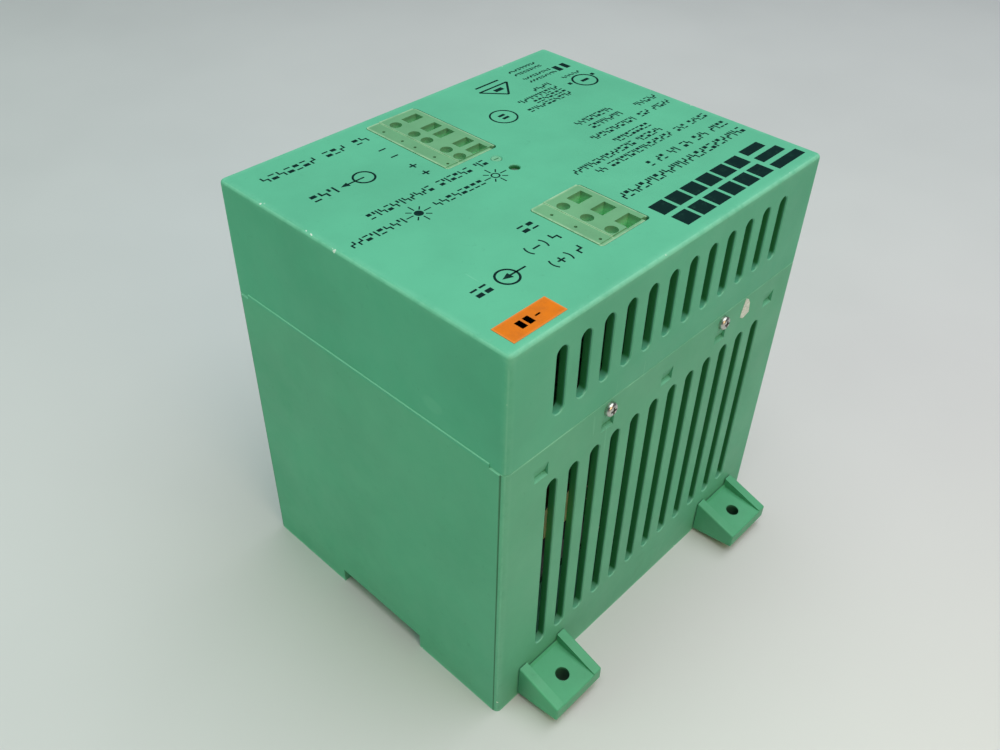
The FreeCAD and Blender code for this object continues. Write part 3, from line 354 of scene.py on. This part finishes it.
def shaded_openings(s, colour, low, seam, depth, up):
    """The colour with painted shade: deeper green on the walls of openings and painted darkness inside,
    but not at the back.
    """
    above_back = s.ramp(s.axis("Z"), low.z + BACK_DEPTH, low.z + BACK_DEPTH + 0.0010)
    in_pockets = near_planes(s, "Z", (seam - POCKETS_BELOW,), 0.0035, 0.0030)
    past_edge = s.math("SUBTRACT", depth, s.product(in_pockets, POCKET_SHIFT))
    upright = s.ramp(up, 0.25, 0.70, 1.0, 0.0)
    off_panels = s.ramp(s.math("ABSOLUTE", s.axis("X")), *SHADE_END_X, 1.0, 0.0)
    # Painted shade: the walls of openings turn deeper green, and the inside is darkened.
    sunk = s.product(s.ramp(past_edge, *SHADE_DEPTH), upright, off_panels, above_back)
    within = s.product(s.ramp(depth, *INSIDE_DEPTH), above_back)
    return s.scaled(s.mix(sunk, colour, GREEN_SHADE), s.ramp(within, 0.0, 1.0, 1.0, INSIDE_SHADE))


def housing_plastic():
    """Grained green moulding with rubbed edges, faint scratches and dust, painted highlights on edges,
    bevels and the seam, and painted shade in openings and at the panel step.
    """
    s = Shade("housing_plastic", Specular_IOR_Level=0.18)
    low, high = Vector(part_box("base_housing")[0]), Vector(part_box("front_cover")[1])
    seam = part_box("base_housing")[1][2] - SEAM_DROP
    depth, up = inward_depth(s, low, high), upward(s)
    scratch = scratches(s)
    fleck = s.product(near_edges(s, [(low, high)], FLECK_REACH), s.ramp(s.noise(520.0, 1.0), 0.745, 0.765))
    colour = s.mix(housing_wear_and_highlights(s, low, high, seam, depth, up), housing_colour(s, seam), GREEN_PALE)
    colour = s.mix(panel_step(s, low, high, seam), colour, GREEN_DIRT_AND_SHADE)
    colour = s.mix(s.product(scratch, 0.18), colour, GREEN_PALE)
    colour = s.mix(s.math("MULTIPLY", fleck, 2.5, clamp=True), colour, FLECK)
    colour = shaded_openings(s, colour, low, seam, depth, up)
    grain = s.bump(s.noise(1500.0, 3.0, 0.6), 0.035, 0.55)
    waves = s.bump(s.noise(90.0, 2.0), 0.10, 0.35, grain)
    rough = s.ramp(s.noise(75.0, 4.0, 0.65), 0.30, 0.75, 0.42, 0.58)
    return s.finish(colour, rough, s.bump(scratch, -0.03, 0.5, waves))


def terminal_plastic():
    """Softer, greyer moulding, with painted highlights along its edges and painted light brightening it
    deep in its holes.
    """
    s = Shade("terminal_plastic", Specular_IOR_Level=0.40)
    boxes = [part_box("input_plug_housing"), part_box("output_plug_housing")]
    top = boxes[0][1][2]
    mottle = s.ramp(s.noise(70.0, 4.0, 0.6), 0.3, 0.7, 0.93, 1.07)
    soil = s.ramp(s.noise(210.0, 5.0, 0.75), 0.56, 0.80, 1.0, 0.86)
    # Painted light: the plastic is brighter further below the top, away from the outer walls, in the
    # holes.
    below = s.ramp(s.math("SUBTRACT", top, s.axis("Z")), 0.0003, 0.0025, 1.0, PAINTED_HOLE_LIGHT)
    walls = [near_planes(s, "XYZ"[i], sorted({c[i] for b in boxes for c in b}), 0.0008) for i in range(2)]
    within = s.math("SUBTRACT", 1.0, s.largest(*walls))
    deep = s.math("ADD", 1.0, s.product(s.math("SUBTRACT", below, 1.0), within))
    colour = s.scaled(TERMINAL, s.product(mottle, soil, deep))
    # Painted highlights: a pale line at the test strip's edge and pale lines along the plugs' edges.
    strip = near_planes(s, "X", (boxes[0][0][0] + STRIP_W,), 0.0003, 0.0001)
    strip_highlight = s.product(strip, near_planes(s, "Z", (top,), 0.0005, 0.0003), 0.8)
    patchy = s.ramp(s.noise(300.0, 4.0, 0.7), 0.30, 0.60, 0.3, 0.85)
    edge_highlight = s.product(s.largest(near_edges(s, boxes, 0.0009), strip_highlight), patchy)
    colour = s.mix(edge_highlight, colour, TERMINAL_PALE)
    normal = s.bump(s.noise(2000.0, 2.0), 0.02, 0.5)
    return s.finish(colour, s.ramp(s.noise(120.0, 3.0), 0.3, 0.7, 0.36, 0.48), normal)


def moulding(name, colour, rough, grain_mm=0.6, wear=0.08):
    """Plain moulded plastic in any colour, with grain and slight mottling."""
    s = Shade(name, Specular_IOR_Level=0.45)
    mottle = s.ramp(s.noise(70.0, 4.0, 0.6), 0.3, 0.7)
    tint = s.mix(mottle, shade(colour, 1 - wear), shade(colour, 1 + wear))
    soil = s.ramp(s.noise(210.0, 5.0, 0.75), 0.56, 0.80, 0.0, 0.30)
    tint = s.mix(soil, tint, shade(colour, 0.60))
    normal = s.bump(s.noise(1000.0 / grain_mm, 2.0), 0.02, 0.5)
    return s.finish(tint, s.ramp(s.noise(120.0, 3.0), 0.3, 0.7, rough - 0.06, rough + 0.08), normal)


def foot_plastic():
    """Moulding of the sliding feet, with painted shade in the hole of each."""
    s = Shade("foot_plastic", Specular_IOR_Level=0.40)
    low, high = [Vector(c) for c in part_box("rail_foot_right")]
    across = s.math("SUBTRACT", s.math("ABSOLUTE", s.axis("X")), (low.x + high.x) / 2)
    along = s.math("SUBTRACT", s.axis("Y"), low.y + FOOT_HOLE_IN)
    squares = s.math("ADD", s.product(across, across), s.product(along, along))
    in_hole = s.ramp(s.math("SQRT", squares), FOOT_HOLE_R, FOOT_HOLE_R + FOOT_HOLE_FADE, 1.0, 0.0)
    # Painted shade on the walls of each foot's hole.
    painted_hole_shade = s.product(in_hole, s.ramp(s.axis("Z"), *FOOT_HOLE_Z, 0.75, 0.0))
    mottle = s.ramp(s.noise(70.0, 4.0, 0.6), 0.3, 0.7, 0.94, 1.06)
    soil = s.ramp(s.noise(210.0, 5.0, 0.75), 0.56, 0.80, 1.0, 0.88)
    tint = s.scaled(FOOT, s.product(mottle, soil, s.math("SUBTRACT", 1.0, painted_hole_shade)))
    normal = s.bump(s.noise(1430.0, 2.0), 0.02, 0.5)
    return s.finish(tint, s.ramp(s.noise(120.0, 3.0), 0.3, 0.7, 0.40, 0.54), normal)


def metal(name, colour, rough, streak=(60.0, 60.0, 1400.0), stain=(0.26, 0.26, 0.25)):
    """Bright metal with fine drawing marks and light tarnish."""
    s = Shade(name, Metallic=1.0)
    marks = s.noise(1.0, 3.0, 0.6, s.stretched(streak))
    tarnish = s.ramp(s.noise(350.0, 5.0, 0.7), 0.52, 0.80, 0.0, 0.45)
    tint = s.mix(s.ramp(marks, 0.3, 0.7), shade(colour, 0.86), colour)
    tint = s.mix(tarnish, tint, stain)
    normal = s.bump(marks, 0.012, 0.5)
    return s.finish(tint, s.ramp(marks, 0.25, 0.75, rough - 0.06, rough + 0.10), normal)


def laminate():
    """Circuit board: green resist over copper tracks, with plated holes."""
    s = Shade("board_laminate", Specular_IOR_Level=0.5, Coat_Weight=0.25, Coat_Roughness=0.2)
    tracks = s.add("ShaderNodeTexBrick", offset=0.37, squash=0.55, squash_frequency=3)
    turned = s.add("ShaderNodeMapping")
    s.set(turned, "Vector", s.place)
    s.set(turned, "Rotation", (0.0, math.radians(90.0), 0.0))
    s.set(tracks, "Vector", turned.outputs[0])
    for key, value in (("Scale", 190.0), ("Mortar Size", 0.055), ("Mortar Smooth", 0.05)):
        s.set(tracks, key, value)
    tone = s.mix(tracks.outputs["Fac"], (0.018, 0.110, 0.045), (0.030, 0.190, 0.080))
    holes = s.add("ShaderNodeTexVoronoi", feature="F1")
    s.set(holes, "Scale", 230.0)
    s.set(holes, "Vector", s.place)
    ring = s.ramp(holes.outputs["Distance"], 0.10, 0.16, 1.0, 0.0)
    tone = s.mix(ring, tone, (0.50, 0.46, 0.36))
    normal = s.bump(tracks.outputs["Fac"], 0.03, 0.6)
    return s.finish(tone, s.ramp(s.noise(300.0), 0.3, 0.7, 0.28, 0.40), normal)


def capacitor_case():
    """Yellow moulded case of a film capacitor, with painted shade making its upper side dark."""
    s = Shade("capacitor_case", Coat_Weight=0.05, Coat_Roughness=0.3)
    shift = s.ramp(s.noise(150.0, 3.0), 0.3, 0.7)
    case = s.mix(shift, (0.93, 0.80, 0.21), (1.0, 0.90, 0.26))
    # Painted shade: the side that faces up is made nearly black.
    tint = s.mix(s.ramp(upward(s), 0.45, 0.75), case, (0.020, 0.012, 0.006))
    return s.finish(tint, s.ramp(shift, 0.0, 1.0, 0.28, 0.38), s.bump(s.noise(900.0), 0.03, 0.4))


def sleeve():
    """Shrunk dark sleeve of a can capacitor, slightly wrinkled."""
    s = Shade("can_sleeve", Coat_Weight=0.1, Coat_Roughness=0.3)
    shift = s.ramp(s.noise(130.0, 3.0), 0.3, 0.7)
    tint = s.mix(shift, (0.012, 0.015, 0.026), (0.024, 0.028, 0.044))
    wrinkle = s.noise(1.0, 2.0, 0.5, s.stretched((500.0, 90.0, 90.0)))
    return s.finish(tint, s.ramp(shift, 0.0, 1.0, 0.22, 0.34), s.bump(wrinkle, 0.06, 0.4))


def wound(name, colour, pitch_per_m, axis_scale, rough):
    """Closely wound wire or tape, in fine ridges."""
    s = Shade(name, Coat_Weight=0.3, Coat_Roughness=0.2)
    ridges = s.add("ShaderNodeTexWave", wave_type="BANDS", bands_direction="X")
    s.set(ridges, "Vector", s.stretched(axis_scale))
    s.set(ridges, "Scale", pitch_per_m)
    s.set(ridges, "Distortion", 0.4)
    tint = s.mix(ridges.outputs["Fac"], shade(colour, 0.62), shade(colour, 1.08))
    tint = s.mix(s.ramp(s.noise(180.0, 4.0), 0.45, 0.75, 0.0, 0.4), tint, shade(colour, 0.7))
    return s.finish(tint, rough, s.bump(ridges.outputs["Fac"], 0.08, 0.7))


def speckled(name, colour, other, rough):
    """Pressed powder or glazed ceramic, with speckles."""
    s = Shade(name)
    speck = s.ramp(s.noise(900.0, 4.0, 0.7), 0.42, 0.62)
    cloud = s.ramp(s.noise(90.0, 3.0), 0.3, 0.7, 0.85, 1.0)
    tint = s.mix(speck, colour, other)
    return s.finish(tint, s.math("MULTIPLY", cloud, rough), s.bump(speck, 0.03, 0.5))


def label_paper():
    """Coated orange paper with rubbed edges."""
    s = Shade("label_paper", Specular_IOR_Level=0.30)
    cloud = s.ramp(s.noise(260.0, 5.0, 0.7), 0.35, 0.75)
    tint = s.mix(cloud, shade(ORANGE, 1.05), shade(ORANGE, 0.86))
    low, high = [Vector(c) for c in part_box("marker_label")]
    edge = near_edges(s, [(low, high)], 0.0007)
    tint = s.mix(s.math("MULTIPLY", edge, 0.20), tint, (0.86, 0.42, 0.16))
    return s.finish(tint, s.ramp(cloud, 0.0, 1.0, 0.40, 0.52), s.bump(s.noise(2200.0, 2.0), 0.015, 0.5))


def clear_plastic():
    """Clear light guide, a little cloudy and green."""
    s = Shade("light_guide", Transmission_Weight=0.75, IOR=1.49)
    cloud = s.ramp(s.noise(600.0, 3.0), 0.3, 0.7)
    tint = s.mix(cloud, (0.42, 0.72, 0.54), (0.56, 0.82, 0.66))
    return s.finish(tint, s.ramp(cloud, 0.0, 1.0, 0.16, 0.28), s.bump(cloud, 0.01, 0.4))


def ink():
    """Screen-printed ink, thin enough to be a little uneven."""
    s = Shade("printed_ink", Specular_IOR_Level=0.06)
    wear = s.ramp(s.noise(700.0, 4.0, 0.7), 0.52, 0.80, 0.0, 0.22)
    tint = s.mix(wear, INK, shade(GREEN, 0.35))
    return s.finish(tint, s.ramp(wear, 0.0, 0.22, 0.46, 0.62), s.bump(s.noise(1500.0), 0.01, 0.4))


def scrap_paper():
    """The white core of a torn seal."""
    s = Shade("torn_seal", Specular_IOR_Level=0.3)
    fibre = s.noise(1.0, 4.0, 0.6, s.stretched((700.0, 700.0, 2400.0)))
    tint = s.mix(s.ramp(fibre, 0.35, 0.7), (0.58, 0.66, 0.60), (0.82, 0.88, 0.83))
    return s.finish(tint, 0.7, s.bump(fibre, 0.05, 0.6))


def slot_materials():
    """One material for each of the record's slots that a CAD node uses."""
    return {
        "housing_green": housing_plastic(),
        "foot_green": foot_plastic(),
        "adjuster_pale": moulding("adjuster_plastic", (0.150, 0.430, 0.260), 0.45),
        "terminal_green": terminal_plastic(),
        "zinc_screw": metal("zinc_plate", (0.60, 0.60, 0.57), 0.30),
        "spring_steel": metal("spring_steel", (0.46, 0.46, 0.46), 0.30, (900.0, 60.0, 60.0)),
        "tinned_metal": metal("tin_plate", (0.66, 0.65, 0.62), 0.30),
        "label_orange": label_paper(),
        "clear_plastic": clear_plastic(),
        "lamp_green": moulding("lamp_plastic", (0.05, 0.30, 0.09), 0.18),
        "trimmer_blue": moulding("trimmer_plastic", (0.012, 0.055, 0.26), 0.40),
        "board_green": laminate(),
        "header_black": moulding("black_moulding", (0.012, 0.013, 0.014), 0.42),
        "capacitor_yellow": capacitor_case(),
        "sleeve_dark": sleeve(),
        "ferrite": speckled("ferrite", (0.030, 0.030, 0.032), (0.050, 0.050, 0.052), 0.62),
        "tape_yellow": wound("winding_tape", (0.62, 0.36, 0.03), 90.0, (1.0, 0.0, 0.0), 0.28),
        "ring_core": speckled("ring_powder", (0.030, 0.120, 0.060), (0.050, 0.170, 0.090), 0.55),
        "copper_wire": metal("enamelled_copper", (0.62, 0.22, 0.08), 0.26, (300.0, 300.0, 300.0)),
        "package_black": moulding("package_epoxy", (0.016, 0.016, 0.017), 0.55, 0.4),
        "heatsink": metal("extruded_aluminium", (0.62, 0.63, 0.64), 0.36, (60.0, 60.0, 900.0)),
        "fuse_ceramic": speckled("fuse_body", (0.70, 0.69, 0.64), (0.64, 0.62, 0.57), 0.25),
        "varistor_blue": moulding("varistor_coat", (0.016, 0.070, 0.300), 0.32, 0.8),
        "wire_red": moulding("wire_cover", (0.36, 0.012, 0.010), 0.38),
    }


def dress_nodes(materials):
    """Gives every CAD node the material of its slot."""
    for part in frame["record"]["subparts"]:
        node = frame["nodes"][part["node"]]
        node.data.materials.clear()
        node.data.materials.append(materials[part["material_slot"]])


# ---------------------------------------------------------------- pieces


def new_piece(name, mesh_maker, material, body="housing"):
    """A mesh object that rides on a body."""
    bm = bmesh.new()
    mesh_maker(bm)
    bmesh.ops.recalc_face_normals(bm, faces=bm.faces)
    mesh = bpy.data.meshes.new(name)
    bm.to_mesh(mesh)
    bm.free()
    piece = bpy.data.objects.new(name, mesh)
    bpy.context.scene.collection.objects.link(piece)
    mesh.materials.append(material)
    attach(piece, body)
    return piece


def slab(bm, outline, low_z, high_z, to_place=None):
    """A closed flat solid from an outline of (x, y) pairs in millimetres."""
    to_place = to_place or (lambda x, y, z: Vector((x, y, z)) * MM)
    lower = [bm.verts.new(to_place(x, y, low_z)) for x, y in outline]
    upper = [bm.verts.new(to_place(x, y, high_z)) for x, y in outline]
    bm.faces.new(lower[::-1])
    bm.faces.new(upper)
    count = len(outline)
    for i in range(count):
        j = (i + 1) % count
        bm.faces.new((lower[i], lower[j], upper[j], upper[i]))


def on_circle(x, y, radius, turn):
    """The point of a circle at an angle in radians."""
    return x + radius * math.cos(turn), y + radius * math.sin(turn)


class Press:
    """Prints flat marks on the front face. Text runs towards -X, with the tops of letters towards -Y."""

    def __init__(self, bm, face_z):
        self.bm = bm
        self.low = face_z - 0.02
        self.high = face_z + INK_T

    def shape(self, outline):
        slab(self.bm, outline, self.low, self.high)

    def bar(self, x, y, width, height):
        """A filled rectangle about a centre."""
        w, h = width / 2, height / 2
        self.shape([(x - w, y - h), (x + w, y - h), (x + w, y + h), (x - w, y + h)])

    def stroke(self, start, end, width):
        """A straight line with square ends."""
        a, b = Vector((*start, 0)), Vector((*end, 0))
        side = (b - a).normalized().cross(Vector((0, 0, 1))) * (width / 2)
        self.shape([(p.x, p.y) for p in (a - side, b - side, b + side, a + side)])

    def ring(self, x, y, radius, width, steps=40):
        """A circle drawn as short strokes that meet on mitred ends."""
        for i in range(steps):
            turn = [2 * math.pi * (i + k) / steps for k in (0, 1)]
            inner = [on_circle(x, y, radius - width / 2, t) for t in turn]
            outer = [on_circle(x, y, radius + width / 2, t) for t in turn]
            self.shape([inner[0], outer[0], outer[1], inner[1]])

    def disc(self, x, y, radius, steps=24):
        """A filled circle."""
        self.shape([on_circle(x, y, radius, 2 * math.pi * i / steps) for i in range(steps)])

    def mark(self, x, y, width, height, line, kind):
        """One letter-sized mark that is no letter: detached strokes and blocks."""
        left, right = x + width / 2 - line / 2, x - width / 2 + line / 2
        upper, lower = y - height * 0.27, y + height * 0.27
        arm, block = height * 0.46, height * 0.40
        if kind == 0:
            self.bar(left, lower, line, arm)
            self.bar(x, y, width, line * 0.9)
            self.bar(right, upper, line, arm)
        elif kind == 1:
            self.bar(left, upper, line, arm)
            self.bar(x, y, width, line * 0.9)
            self.bar(right, lower, line, arm)
        elif kind == 2:
            self.bar(x, upper, width, block)
            self.bar(x, y + height / 2 - line / 2, width, line)
        elif kind == 3:
            self.bar(left, y, line, height)
            self.bar(right, lower, line * 1.3, arm)
        else:
            self.bar(x, y - height / 2 + line / 2, width, line)
            self.bar(x, lower, width * 0.9, block)

    def words(self, x, y, height, counts, pitch, rng, line=0.36):
        """A line of word-like rows of marks, which spell nothing."""
        for count in counts:
            for _ in range(count):
                self.mark(x - pitch * 0.38, y, pitch * 0.74, height, line, rng.randrange(5))
                x -= pitch
            x -= pitch

    def arc(self, x, y, radius, start, end, width, steps=8):
        """Part of a circle, in short strokes. Angles are in degrees."""
        turns = [math.radians(start + (end - start) * i / steps) for i in range(steps + 1)]
        points = [on_circle(x, y, radius, t) for t in turns]
        for a, b in zip(points, points[1:]):
            self.stroke(a, b, width)


def print_rating_text(press, rng):
    """The rating lines, as rows of marks."""
    press.words(59.2, -26.1, 3.1, (27,), 2.05, rng, 0.52)
    press.words(59.2, -20.3, 2.8, (4, 3, 2, 2, 2, 1), 1.92, rng, 0.50)
    name_x, value_x = 59.2, 42.5
    lines = ((-13.5, (5, 3), (16, 2)), (-9.7, (), (6, 15)), (-5.7, (), (9,)),
             (-0.5, (5, 3), (11,)), (4.4, (6,), (8,)), (8.3, (), (9,)))
    for y, name, value in lines:
        press.words(name_x, y, 2.4, name, 1.62, rng, 0.42)
        press.words(value_x, y, 2.4, value, 1.72, rng, 0.44)


def print_emblem(press):
    """A plain block of bold bars where a maker would put a name."""
    for i in range(3):
        press.bar(52.9 - i * 1.1, -44.7 + i * 4.9, 13.2 - i * 2.2, 3.2)
    for row, y in enumerate((-43.1, -36.3)):
        for i in range(6):
            press.bar(41.6 - i * 6.7 - row * 0.4, y, 5.6, 5.2)


def print_marks(press, rng):
    """Plain outlines where approval marks would be."""
    press.ring(52.8, 26.3, 3.9, 0.65)
    press.bar(52.8, 26.3, 3.2, 1.2)
    for x in (57.9, 47.3):
        press.bar(x, 27.6, 1.3, 1.3)
    press.words(56.5, 31.9, 1.5, (5,), 1.6, rng, 0.42)
    for y, count in ((23.4, 10), (26.2, 7), (28.9, 9), (32.0, 4)):
        press.words(42.7, y, 2.1, (count,), 1.9, rng, 0.46)
    press.ring(16.1, 26.0, 4.0, 0.55)
    press.bar(16.1, 25.1, 2.4, 1.0)
    press.bar(16.1, 26.9, 2.4, 1.0)
    for x in (56.6, 53.2):
        press.bar(x, 37.8, 2.0, 3.6)
    for y in (36.8, 39.4, 43.2, 45.8):
        press.words(51.2, y, 1.3, (9,), 1.36, rng, 0.40)
    corners = [(22.4, 41.9), (28.3, 35.4), (34.2, 41.9)]
    for a, b in ((0, 1), (1, 2), (2, 0)):
        press.stroke(corners[a], corners[b], 0.7)
    press.stroke((23.4, 44.6), (33.2, 44.6), 0.7)
    press.bar(28.3, 39.6, 3.4, 1.6)


def print_arrow(press, tail, head, size):
    """An arrow along X."""
    way = math.copysign(1.0, head[0] - tail[0])
    neck = (head[0] - way * size, head[1])
    press.stroke(tail, neck, 0.52)
    press.shape([(neck[0], neck[1] - size / 2.4), head, (neck[0], neck[1] + size / 2.4)])


def print_directions(press, rng):
    """Into and out of: a circle and an arrow by each terminal block."""
    press.ring(-42.0, -30.0, 2.9, 0.6)
    print_arrow(press, (-36.0, -30.0), (-43.6, -30.0), 2.6)
    press.words(-47.6, -29.9, 3.2, (2,), 2.7, rng, 0.6)
    press.ring(-35.4, 26.7, 2.9, 0.6)
    print_arrow(press, (-35.4, 26.7), (-43.0, 26.7), 2.4)
    press.words(-44.4, 26.8, 3.2, (3,), 2.8, rng, 0.6)


def print_pole_marks(press, rng):
    """Polarity beside the poles: plus and minus signs, in brackets at the input."""
    arm, line = 2.4, 0.52
    for x, y, plus in ((-28.2, -34.0, True), (-28.3, -26.4, False), (-22.3, 17.5, True),
                       (-22.3, 22.5, True), (-22.2, 29.8, False), (-22.2, 34.8, False)):
        press.bar(x, y, arm, line)
        if plus:
            press.bar(x, y - (arm + line) / 4, line, (arm - line) / 2)
            press.bar(x, y + (arm + line) / 4, line, (arm - line) / 2)
        if y < 0:
            press.arc(x, y, 3.0, -35, 35, 0.44)
            press.arc(x, y, 3.0, 145, 215, 0.44)
    for y, count in ((-34.0, 1), (-26.4, 1), (-19.1, 2)):
        press.words(-20.8, y, 3.1, (count,), 2.8, rng, 0.54)
    press.words(-20.8, 42.9, 3.1, (2, 3, 7), 2.5, rng, 0.50)


def print_lamp_marks(press, rng):
    """The lamp's two signs, lit and dark, and the adjuster's line."""
    for x, filled in ((-10.5, False), (-37.5, True)):
        y = 3.8
        if filled:
            press.disc(x, y, 1.25)
        else:
            press.ring(x, y, 1.1, 0.42, 24)
        for i in range(8):
            turn = math.pi * i / 4
            reach = 4.0 if i % 2 == 0 else 3.3
            press.stroke(on_circle(x, y, 1.75, turn), on_circle(x, y, reach, turn), 0.36)
        press.words(x - 4.6, y + 0.1, 2.6, (8,), 2.15, rng, 0.46)
    press.words(-7.1, 10.8, 2.8, (2, 6, 11), 1.95, rng, 0.46)


def front_print():
    """All the print on the front face, in one piece."""
    face_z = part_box("front_cover")[1][2] / MM

    def make(bm):
        rng = random.Random(7)
        press = Press(bm, face_z)
        print_emblem(press)
        print_rating_text(press, rng)
        print_marks(press, rng)
        print_directions(press, rng)
        print_pole_marks(press, rng)
        print_lamp_marks(press, rng)

    return new_piece("front_print", make, ink())


def label_mark():
    """A plain dash and two blocks on the orange label."""
    low, high = [Vector(c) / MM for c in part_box("marker_label")]
    x = (low.x + high.x) / 2
    y = (low.y + high.y) / 2

    def make(bm):
        press = Press(bm, high.z - 0.03)
        press.bar(x + 2.5, y, 1.6, 0.5)
        press.bar(x - 0.3, y, 1.7, 2.6)
        press.bar(x - 2.7, y, 1.7, 2.6)

    return new_piece("label_mark", make, ink())


def torn_seal():
    """The scrap left by a torn seal beside the right housing screw."""
    face_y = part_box("base_housing")[0][1] / MM
    outline = [(36.2, 96.7), (37.6, 95.9), (38.7, 94.2), (39.0, 92.4), (39.2, 90.6),
               (37.8, 90.2), (36.5, 89.8), (35.6, 90.2), (34.7, 90.9), (35.2, 93.6)]

    def on_wall(x, z, out):
        return Vector((x, face_y - out, z)) * MM

    def make(bm):
        slab(bm, outline, -0.02, SCRAP_T, on_wall)

    return new_piece("torn_seal", make, scrap_paper())


def coil_points(start, end, radius, turns, steps):
    """Points of a helix along Y, with flat closed ends."""
    points = []
    total = turns * steps
    for i in range(total + 1):
        t = i / total
        closed = min(1.0, max(0.0, (t * turns - CLOSED_TURNS) / (turns - 2 * CLOSED_TURNS)))
        y = start[1] + (end[1] - start[1]) * (CLOSED_SHARE + (1 - 2 * CLOSED_SHARE) * closed)
        x, z = on_circle(start[0], start[2], radius, 2 * math.pi * t * turns)
        points.append(Vector((x, y, z)))
    return points


def sweep(bm, points, radius, sides=10):
    """A round tube along points, closed at both ends."""
    rings = []
    for i, point in enumerate(points):
        ahead = points[min(i + 1, len(points) - 1)]
        behind = points[max(i - 1, 0)]
        along = (ahead - behind).normalized()
        side = along.cross(Vector((0, 1, 0))).normalized()
        up = side.cross(along)
        turns = [2 * math.pi * k / sides for k in range(sides)]
        around = [side * math.cos(t) + up * math.sin(t) for t in turns]
        rings.append([bm.verts.new(point + way * radius) for way in around])
    for a, b in zip(rings, rings[1:]):
        for k in range(sides):
            bm.faces.new((a[k], a[(k + 1) % sides], b[(k + 1) % sides], b[k]))
    bm.faces.new(rings[0][::-1])
    bm.faces.new(rings[-1])


def foot_spring(side, material):
    """The spring of one foot, as a coil that rides on the housing."""
    node = "foot_spring_" + side
    low, high = [Vector(c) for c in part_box(node)]
    middle = (low + high) / 2
    wire = SPRING_WIRE_R * MM
    radius = (high.x - low.x) / 2 - wire
    start = Vector((middle.x, low.y + wire, middle.z))
    end = Vector((middle.x, high.y - wire, middle.z))

    def make(bm):
        sweep(bm, coil_points(start, end, radius, SPRING_TURNS, SPRING_STEPS), wire)

    piece = new_piece(node + "_coil", make, material)
    for face in piece.data.polygons:
        face.use_smooth = True
    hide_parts(node)
    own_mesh(piece)


# ---------------------------------------------------------------- stage


def floor():
    """A wide pale floor with a faint unevenness."""
    s = Shade("pale_floor", Specular_IOR_Level=0.25)
    cloud = s.ramp(s.noise(3.0, 4.0, 0.6), 0.3, 0.7)
    tint = s.mix(cloud, (0.60, 0.62, 0.63), (0.64, 0.66, 0.67))
    material = s.finish(tint, s.ramp(cloud, 0.0, 1.0, 0.50, 0.60), s.bump(s.noise(160.0), 0.02, 0.2))
    half = FLOOR_HALF
    corners = [(-half, -half, 0), (half, -half, 0), (half, half, 0), (-half, half, 0)]
    mesh = bpy.data.meshes.new("floor")
    mesh.from_pydata(corners, [], [(0, 1, 2, 3)])
    mesh.materials.append(material)
    plane = bpy.data.objects.new("floor", mesh)
    bpy.context.scene.collection.objects.link(plane)


def area_light(name, at_mm, aim_mm, size_mm, watts, colour):
    """A soft square light that points at a place."""
    lamp = bpy.data.lights.new(name, "AREA")
    lamp.shape = "SQUARE"
    lamp.size = size_mm * MM
    lamp.energy = watts
    lamp.color = colour
    holder = bpy.data.objects.new(name, lamp)
    place, aim = Vector(at_mm) * MM, Vector(aim_mm) * MM
    holder.location = place
    holder.rotation_euler = (aim - place).to_track_quat("-Z", "Y").to_euler()
    bpy.context.scene.collection.objects.link(holder)


def lights():
    """A wide soft box overhead, a warm one on the vented side and a greenish one on the left."""
    area_light("overhead", (120, -120, 1150), (0, 0, 60), 1300, 15.3, (0.98, 1.0, 1.0))
    area_light("vent_side", (-120, -480, 300), (-10, -50, 60), 300, 0.78, (1.0, 0.68, 0.34))
    area_light("left_side", (-950, 520, 420), (-40, 0, 60), 700, 3.3, (0.42, 0.94, 0.54))
    world = bpy.data.worlds.new("studio")
    world.use_nodes = True
    back = world.node_tree.nodes["Background"]
    back.inputs["Color"].default_value = (0.85, 0.93, 1.0, 1.0)
    back.inputs["Strength"].default_value = 0.10
    bpy.context.scene.world = world
    bpy.context.scene.view_settings.view_transform = "Standard"


def camera():
    """The camera, level apart from a small roll."""
    at, aim = Vector(CAMERA_AT) * MM, Vector(CAMERA_AIM) * MM
    ahead = (aim - at).normalized()
    level = ahead.cross(Vector((0, 0, 1))).normalized()
    roll = math.radians(CAMERA_ROLL)
    right = level * math.cos(roll) + level.cross(ahead) * math.sin(roll)
    up = right.cross(ahead)
    turn = Matrix((right, up, -ahead)).transposed().to_4x4()
    data = bpy.data.cameras.new("camera")
    data.lens = CAMERA_LENS
    data.sensor_width = 36.0
    data.clip_start = 0.01
    holder = bpy.data.objects.new("camera", data)
    holder.matrix_world = Matrix.Translation(at) @ turn
    bpy.context.scene.collection.objects.link(holder)
    bpy.context.scene.camera = holder


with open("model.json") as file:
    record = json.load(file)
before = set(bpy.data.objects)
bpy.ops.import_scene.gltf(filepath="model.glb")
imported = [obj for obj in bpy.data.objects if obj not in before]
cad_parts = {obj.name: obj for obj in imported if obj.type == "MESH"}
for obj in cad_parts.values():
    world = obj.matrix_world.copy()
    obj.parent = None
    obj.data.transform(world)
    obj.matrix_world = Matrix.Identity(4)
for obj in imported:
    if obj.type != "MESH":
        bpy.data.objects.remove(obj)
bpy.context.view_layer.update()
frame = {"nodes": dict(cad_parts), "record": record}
camera()
lights()
floor()
materials = slot_materials()
dress_nodes(materials)
front_print()
label_mark()
torn_seal()
for side in ("left", "right"):
    foot_spring(side, materials["spring_steel"])
